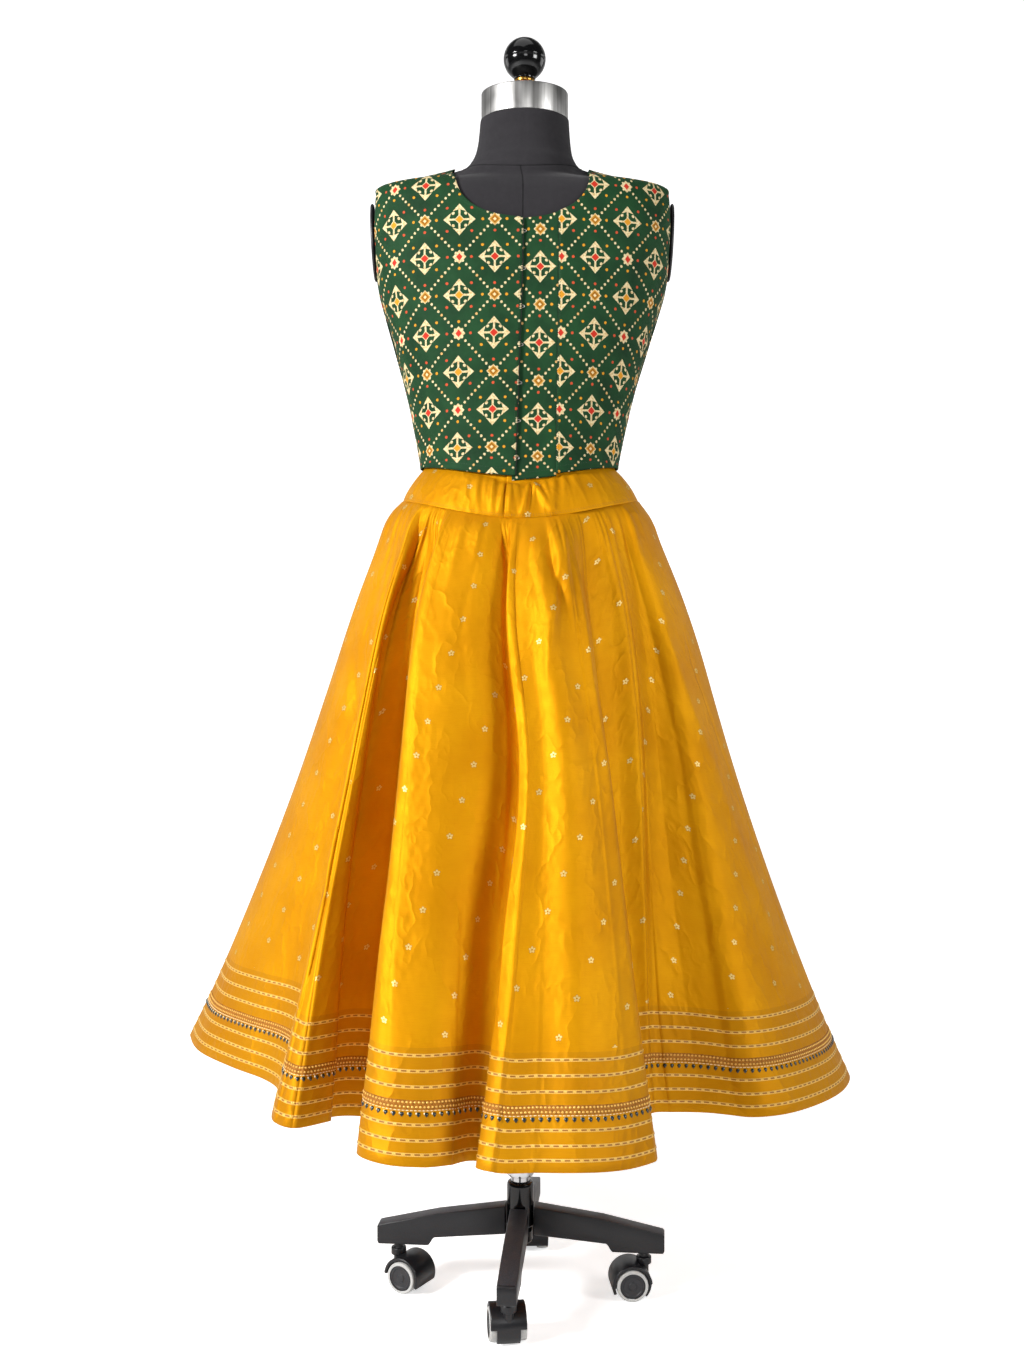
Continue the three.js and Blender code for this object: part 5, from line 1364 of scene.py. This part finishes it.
# sharp folds: path as (share of the height from the seam, fold line), height in mm, width to the left and right in mm
# at the hem, and the stretch of the height over which it shows
creaseSet = [
    (((0, 18.8), (0.3, 18.6), (0.5, 18.6), (1, 18.4)), -22, 46, 14, (0, 1.2)),
    (((0, 20.4), (0.1, 20.4), (0.3, 20.2), (0.5, 20.3), (0.7, 20.1), (1, 20)), 2, 5, 9, (0, 1.2)),
    (((0, 21), (0.5, 21.1), (1, 21)), -9, 18, 30, (0.03, 0.8)),
    (((0, 22.6), (0.5, 22.8), (1, 22.9)), 14, 50, 60, (0.05, 1.2)),
    (((0, 7.6), (0.24, 7.7), (0.67, 8), (1, 8)), 4, 24, 8, (0.1, 1.2)),
    (((0, 7.4), (0.13, 8.2), (0.28, 8.7), (0.6, 8.9), (1, 9.4)), -25, 7, 60, (0.02, 1.2)),
    (((0, 9.4), (0.3, 10), (1, 10.3)), -18, 60, 50, (0.04, 1.2)),
    (((0, 13.1), (0.09, 14), (0.4, 14.5), (0.62, 14.5), (1, 13.9)), 4, 8, 44, (0, 1.2)),
    (((0.19, 2.1), (0.3, 3.3), (0.65, 6.9), (0.8, 7.2)), -3, 16, 9, (0.15, 0.8)),
    (((0, 24.2), (0.12, 24.6), (0.28, 24.5), (0.43, 24.7), (0.72, 24.6), (1, 24.7)), 4, 26, 7, (0.06, 1.2)),
    (((0, 24.8), (0.12, 25.4), (0.28, 25.3), (0.43, 25.5), (0.72, 25.4), (1, 25.5)), -16, 9, 50, (0.08, 1.2)),
    (((0, 24.4), (0.09, 23.9), (0.2, 23.8)), 9, 22, 12, (-0.1, 0.18)),
    (((0.08, 23.6), (0.14, 23.1), (0.26, 22.4)), 7, 16, 12, (0.08, 0.26)),
    (((0.07, 23.1), (0.16, 23.6)), -11, 18, 14, (0.07, 0.14)),
    (((0.02, 23.2), (0.1, 23.3)), -4, 14, 10, (0.0, 0.1)),
    (((0.12, 26.4), (0.14, 27.2), (0.19, 29)), -2.4, 14, 24, (0.12, 0.19)),
    (((0, 29.6), (0.16, 29.5), (0.46, 29.2), (1, 28.7)), 2.5, 8, 18, (0, 1.2)),
    (((0, 31), (0.17, 31.4), (0.43, 31.8), (0.62, 31.7), (1, 31.7)), -7, 26, 18, (0.04, 1.2)),
    (((0.25, 32.4), (0.46, 33.5), (0.67, 34), (0.8, 34)), 3.5, 20, 20, (0.22, 0.75)),
    (((0.28, 33.8), (0.54, 34.9), (0.67, 35)), -1.6, 5, 5, (0.25, 0.75)),
    (((0, 17), (0.2, 16.6), (0.4, 17.2), (0.6, 16.5)), -2.4, 26, 18, (0.03, 0.5)),
    (((0, 11.9), (0.1, 12.3), (0.3, 12.6)), -3, 20, 12, (0, 0.3)),
    (((0, 22.2), (0.08, 21.9), (0.2, 22.6)), -2.2, 14, 14, (0, 0.16)),
    (((0, 27), (0.1, 26.6), (0.25, 27.2)), -2, 14, 20, (0, 0.25)),
]


# folds that lap over their neighbour: path, sideways shift in mm, half width in fold lines
lapSet = [
    (((0, 18.5), (0.5, 18.6), (1, 18.5)), 24, 0.95),
    (((0, 20.4), (0.1, 20.5), (0.3, 20.3), (0.5, 20.4), (0.7, 20.2), (1, 20.2)), -7, 0.55),
    (((0, 14), (0.5, 14.3), (1, 14)), -5, 0.6),
]


def creases(s, k, spacing):
    out = np.zeros((len(s), len(k)))
    for route, height, left, right, (first, last) in creaseSet:
        marks = np.array(route, float)
        line = np.interp(s, marks[:, 0], marks[:, 1])
        away = (k[None] - line[:, None]) * spacing
        scale = (0.3 + 0.7 * s)[:, None]
        width = np.where(away < 0, left, right) * scale
        shows = 1 / (1 + np.exp(-(s - first) / 0.02)) / (1 + np.exp((s - last) / 0.02))
        out += height * (0.35 + 0.65 * scale) * np.exp(-np.abs(away / width) ** 1.5) * shows[:, None]
    return out


def skirtSurface():
    k = np.concatenate([n + np.arange(count) / count for n, count in enumerate(foldColumns)])
    rows = skirtSet["rows"]
    s = np.concatenate([np.linspace(1, 0.16, rows - 26), np.linspace(0.16, 0, 27)[1:]])
    base = skirtPoints(s, k)
    normal = gridNormals(base, closed=True)
    normal[-1, :, 2] = 0
    normal = unit(normal)
    gap = (np.roll(k, -1) - np.roll(k, 1)) % foldCount
    spacing = np.linalg.norm(np.roll(base, -1, 1) - np.roll(base, 1, 1), axis=2) / gap[None]
    offset = (ripples(s, k) + creases(s, k, spacing)) * np.clip(s * 22, 0.04, 1)[:, None]
    along = unit(np.roll(base, -1, 1) - np.roll(base, 1, 1))
    base = base + normal * offset[..., None]
    for route, shift, width in lapSet:
        marks = np.array(route, float)
        away = k[None] - np.interp(s, marks[:, 0], marks[:, 1])[:, None]
        share = np.exp(-(away / width) ** 2) * (0.5 + 0.5 * s)[:, None] * np.clip((s - 0.01) * 12, 0, 1)[:, None]
        base = base + along * (shift * share)[..., None]
    normal = gridNormals(base, closed=True)
    normal[-1, :, 2] = 0
    return s, k, base, unit(normal)


def addSkirt():
    s, k, base, normal = skirtSurface()
    starts = np.concatenate([[0], np.cumsum(foldColumns)])
    columns = len(k)
    step = np.linalg.norm(np.roll(base, -1, 1) - base, axis=2)
    fromHem = runAlong(base)
    made = []
    for n, first in enumerate(panelSeams):
        last = panelSeams[n + 1] if n + 1 < len(panelSeams) else panelSeams[0] + foldCount
        end = starts[last] if last <= foldCount else starts[last - foldCount] + columns
        index = np.arange(starts[first], end + 1) % columns
        points, out = base[:, index].copy(), normal[:, index]
        width = step[:, index[:-1]]
        across = np.concatenate([np.zeros((len(s), 1)), np.cumsum(width, axis=1)], 1)
        across -= across[:, -1:] / 2
        along = unit(np.gradient(points, axis=1))
        points[:, 0] += along[:, 0] * skirtSet["seamGap"]
        points[:, -1] -= along[:, -1] * skirtSet["seamGap"]
        edge = np.minimum(across - across[:, :1], across[:, -1:] - across)
        dip = 0.55 * np.exp(-(edge / 2.2) ** 2)
        inner = points + out * 0.1
        outer = points + out * (0.1 + skirtSet["thickness"] - dip)[..., None]
        uv = np.stack([across, fromHem[:, index]], -1)
        name = f"skirtPanel_{n + 1}"
        obj = finishObject(name, shellMesh(name, inner, outer, uv), satin, stands=[f"skirt_panel_{n + 1}"])
        area = sheetArea(outer)
        print(f"{name} area {area:.4f} hem {across[0, -1] * 2:.0f} seam {across[-1, -1] * 2:.0f} long {fromHem[-1].max():.0f}")
        made.append((obj, area, across[0, -1] * 2, fromHem[-1, index].max()))
    return made, base, normal, fromHem


skirt, skirtBase, skirtNormal, skirtFromHem = addSkirt()
print("skirt panels built")

yokeSet = {"ease": 1.1, "lapEdge": -15.0, "lapUnder": -1.0, "lapStep": 1.35, "thickness": 0.9, "seed": 5}


def yokePoint(bearing, row):
    bearing, row = np.broadcast_arrays(np.asarray(bearing, float), np.asarray(row, float))
    wrapped = (bearing + math.pi) % (2 * math.pi) - math.pi
    top = blouseHemZ(bearing) - 1 - 9.5 * np.exp(-(wrapped / math.radians(22)) ** 2)
    upper = onForm(bearing, top + np.maximum(-row, 0) * 16, np.full(row.shape, yokeSet["ease"]))
    waist = onForm(bearing, top, np.full(row.shape, yokeSet["ease"]))
    radius = seamRadius(bearing)
    seam = np.stack([radius * np.sin(bearing), -radius * np.cos(bearing), seamZ(bearing) + 0.4], -1)
    swell = (row + 0.1 * np.sin(math.pi * row))[..., None]
    lower = waist + (seam - waist) * swell
    lower[..., 2] = waist[..., 2] + (seam[..., 2] - waist[..., 2]) * row
    return np.where(row[..., None] < 0, upper, lower)


# deep gathers at the centre back: bearing, half width in radians, height in mm, slant, level
yokeFolds = [
    (-0.62, 0.05, 1.6, 0.14, 0.1), (-0.5, 0.045, 2.6, 0.12, 0.15), (-0.41, 0.03, 1.8, 0.08, 0.0), (-0.325, 0.05, 4.2, 0.06, 0.25),
    (-0.215, 0.038, 4.6, 0.0, 0.4), (-0.125, 0.035, 3.6, 0.02, 0.5), (-0.04, 0.06, 3.4, 0.05, 0.15),
    (0.075, 0.03, 4.4, -0.1, 0.2), (0.15, 0.024, 2.2, -0.08, 0.0), (0.21, 0.04, 4.0, 0.16, 0.3), (0.3, 0.03, 2.4, 0.04, 0.1),
    (0.38, 0.05, 3.0, -0.1, 0.2), (0.5, 0.04, 1.8, -0.12, 0.15), (0.62, 0.05, 1.2, -0.14, 0.1),
]


def yokeGathers(x, y, row, chance):
    out = np.zeros_like(x)
    angle = np.arctan2(x, -y)
    for _ in range(120):
        at, width, size, slant, level = (chance.uniform(*r) for r in
                                         ((-math.pi, math.pi), (0.012, 0.03), (0.15, 0.7), (-0.06, 0.06), (-0.1, 1.1)))
        away = (angle - at - slant * (row - 0.5) + math.pi) % (2 * math.pi) - math.pi
        out += size * np.exp(-(away / width) ** 2) * np.exp(-((row - level) / 0.55) ** 2)
    for at, width, size, slant, level in yokeFolds:
        away = angle - at - slant * (row - 0.3)
        out += 1.5 * size * np.exp(-np.abs(away / width) ** 1.5) * np.exp(-((row - level) / 0.65) ** 2)
    return out * np.clip((row + 0.05) * 5, 0, 1) * np.clip((1.02 - row) * 7, 0.1, 1)


def addYokeHalf(name, start, end, lap, node):
    columns, rows = 240, 34
    levels = np.concatenate([np.linspace(1, 0, 27), np.linspace(0, -1, rows - 26)[1:]])
    fine = np.linspace(start, end, 2000)
    path = yokePoint(fine, 0.3)
    length = runAlong(path)
    bearing = np.interp(np.linspace(0, length[-1], columns), length, fine)
    b, row = np.meshgrid(bearing, levels)
    points = yokePoint(b, row)
    normal = gridNormals(points)
    normal[0, :, 2] = 0
    normal = unit(normal)
    step = yokeSet["lapStep"] * np.clip((12 - points[..., 0]) / 11, 0, 1) * (points[..., 1] < 0) if lap else 0
    rise = yokeGathers(points[..., 0], points[..., 1], row, np.random.default_rng(yokeSet["seed"]))
    if lap:
        edge = np.linspace(0, length[-1], columns)[None]
        rise = rise + 2.2 * np.exp(-(edge / 5.5) ** 2) * np.clip((row - 0.02) * 8, 0, 1) * np.clip((1.02 - row) * 7, 0.1, 1)
    points = points + normal * (step + rise)[..., None]
    normal = gridNormals(points)
    across = np.tile(np.linspace(0, length[-1], columns), (rows, 1))
    up = runAlong(points)
    uv = np.stack([across, up + 700], -1)
    mesh = shellMesh(name, points + normal * 0.05, points + normal * (0.05 + yokeSet["thickness"]), uv)
    obj = finishObject(name, mesh, satin, stands=[node])
    area = sheetArea(points)
    print(f"{name} area {area:.4f} long {length[-1]:.0f} high {up[-1].max():.0f}")
    return obj, points, normal, area


def addYoke():
    over = float(bearingAtX(yokeSet["lapEdge"], 1010, True))
    under = float(bearingAtX(yokeSet["lapUnder"], 1010, True))
    left = addYokeHalf("skirtYokeLeft", -math.pi + 0.0016, under, False, "skirt_yoke_left")
    right = addYokeHalf("skirtYokeRight", over, math.pi - 0.0016, True, "skirt_yoke_right")
    return left, right


yoke = addYoke()


def addYokeThreads():
    lines = []
    for distance in (2.4, 4.2):
        for _, points, normal, _ in yoke:
            line, out = insetLine(points, normal, "bottom", distance)
            lines.append((line + out * (0.05 + yokeSet["thickness"]), out))
    stitches("yokeStitches", lines, 3.3, (1.1, 0.28, 0.28), goldStitch)


addYokeThreads()
print("yoke built")

borderSet = {
    "stripes": [11.5, 25.5, 41.0, 79.0, 95.0, 111.0], "stripeWidth": 1.8, "beadLine": 51.4, "beadStep": 8.5,
    "beadSize": (3.2, 2.7, 1.5), "braidLine": 61.2, "braidHalf": 4.8,
    "sewnSizes": ((1.1, 1.5, 0.8), (1.9, 0.6, 0.6), (1.75, 1.5, 1.3)),  # specks, scallops and knots
}


def clothLine(level):  # points and normals of the cloth's outer face at a distance from the hem
    columns = skirtFromHem.shape[1]
    points, normals = np.zeros((columns, 3)), np.zeros((columns, 3))
    for c in range(columns):
        column = skirtFromHem[:, c]
        for axis in range(3):
            points[c, axis] = np.interp(level, column, skirtBase[:, c, axis])
            normals[c, axis] = np.interp(level, column, skirtNormal[:, c, axis])
    normals = unit(normals)
    return points + normals * (0.1 + skirtSet["thickness"]), normals


def denser(values, factor):  # closed line resampled more finely
    count = len(values)
    at = np.arange(count * factor) / factor
    low = np.floor(at).astype(int)
    t = (at - low)[:, None]
    p0, p1, p2, p3 = (values[(low + n) % count] for n in (-1, 0, 1, 2))
    return 0.5 * (2 * p1 + (p2 - p0) * t + (2 * p0 - 5 * p1 + 4 * p2 - p3) * t * t + (3 * p1 - p0 - 3 * p2 + p3) * t ** 3)


def ribbon(name, level, half, height, material, factor=2, humps=5):
    profile = np.linspace(-1, 1, humps)
    lines = []
    for p in profile:
        points, normals = clothLine(level + p * half)
        points, normals = denser(points, factor), unit(denser(normals, factor))
        lines.append(points + normals * (height * (1 - p ** 4) + 0.02))
    grid = np.stack(lines)
    run = runAlong(grid[0])
    uv = np.stack(np.broadcast_arrays(run[None], (profile * half)[:, None]), -1)
    mesh = meshFrom(name, grid.reshape(-1, 3), gridFaces(len(profile), grid.shape[1], closed=True), uv.reshape(-1, 2))
    return finishObject(name, mesh, material)


def evenPlaces(level, step, phase=0.0):
    points, normals = clothLine(level)
    points, normals = denser(points, 4), denser(normals, 4)
    loop = np.concatenate([points, points[:1]])
    length = runAlong(loop)
    count = int(length[-1] // step)
    goals = (np.arange(count) + phase) * length[-1] / count
    spots = np.stack([np.interp(goals, length, loop[:, a]) for a in range(3)], 1)
    outs = np.stack([np.interp(goals, length, np.append(normals[:, a], normals[0, a])) for a in range(3)], 1)
    tangent = unit(np.roll(spots, -1, 0) - np.roll(spots, 1, 0))
    return spots, unit(outs), tangent


def heartTemplate(width, height, rise):  # wide above, pointed below
    points, faces = domeTemplate(width, height, rise, 12, 4)
    return [(x * (0.22 + 0.78 * (y / height + 1) / 2) ** 0.8, y, z) for x, y, z in points], faces


def addBorder():
    made = []
    for n, level in enumerate(borderSet["stripes"]):
        made.append(ribbon(f"zariStripe_{n + 1}", level, borderSet["stripeWidth"], 0.55, zari))
    made.append(ribbon("braidBand", borderSet["braidLine"], borderSet["braidHalf"], 0.6, braidGround, humps=7))
    beads, step, braidAt = borderSet["beadLine"], borderSet["beadStep"], borderSet["braidLine"]
    speck, scallop, knot = (domeTemplate(*size) for size in borderSet["sewnSizes"])
    sewn = [
        ("borderBeads", heartTemplate(*borderSet["beadSize"]), beads, step, 0.0, beadGlass),
        ("borderSpecks", speck, beads + 1.0, step, 0.5, creamThread),
        ("borderScallops", scallop, beads + 4.0, step / 2, 0.25, creamThread),
        ("braidKnots_1", knot, braidAt - 2.3, 4.2, 0.0, braid),
        ("braidKnots_3", knot, braidAt + 2.3, 4.2, 0.5, braid),
    ]
    for name, template, level, apart, phase, material in sewn:
        made.append(scatter(name, template, evenPlaces(level, apart, phase), material))
    return made


border = addBorder()
print("border built")

for key, (width, length) in blouseSet["flat"].items():
    obj, _, _, area = blouse[key]
    area = min(area, width * length)
for obj, points, normal, area in yoke:
    width = max(area / 0.07 * 1.15, 0.3)
    area = min(area, width * 0.085)
for n, (obj, area, hem, long) in enumerate(skirt):
    width, length = hem / 1000 + 0.02, long / 1000 + 0.02

print("all pieces in place")
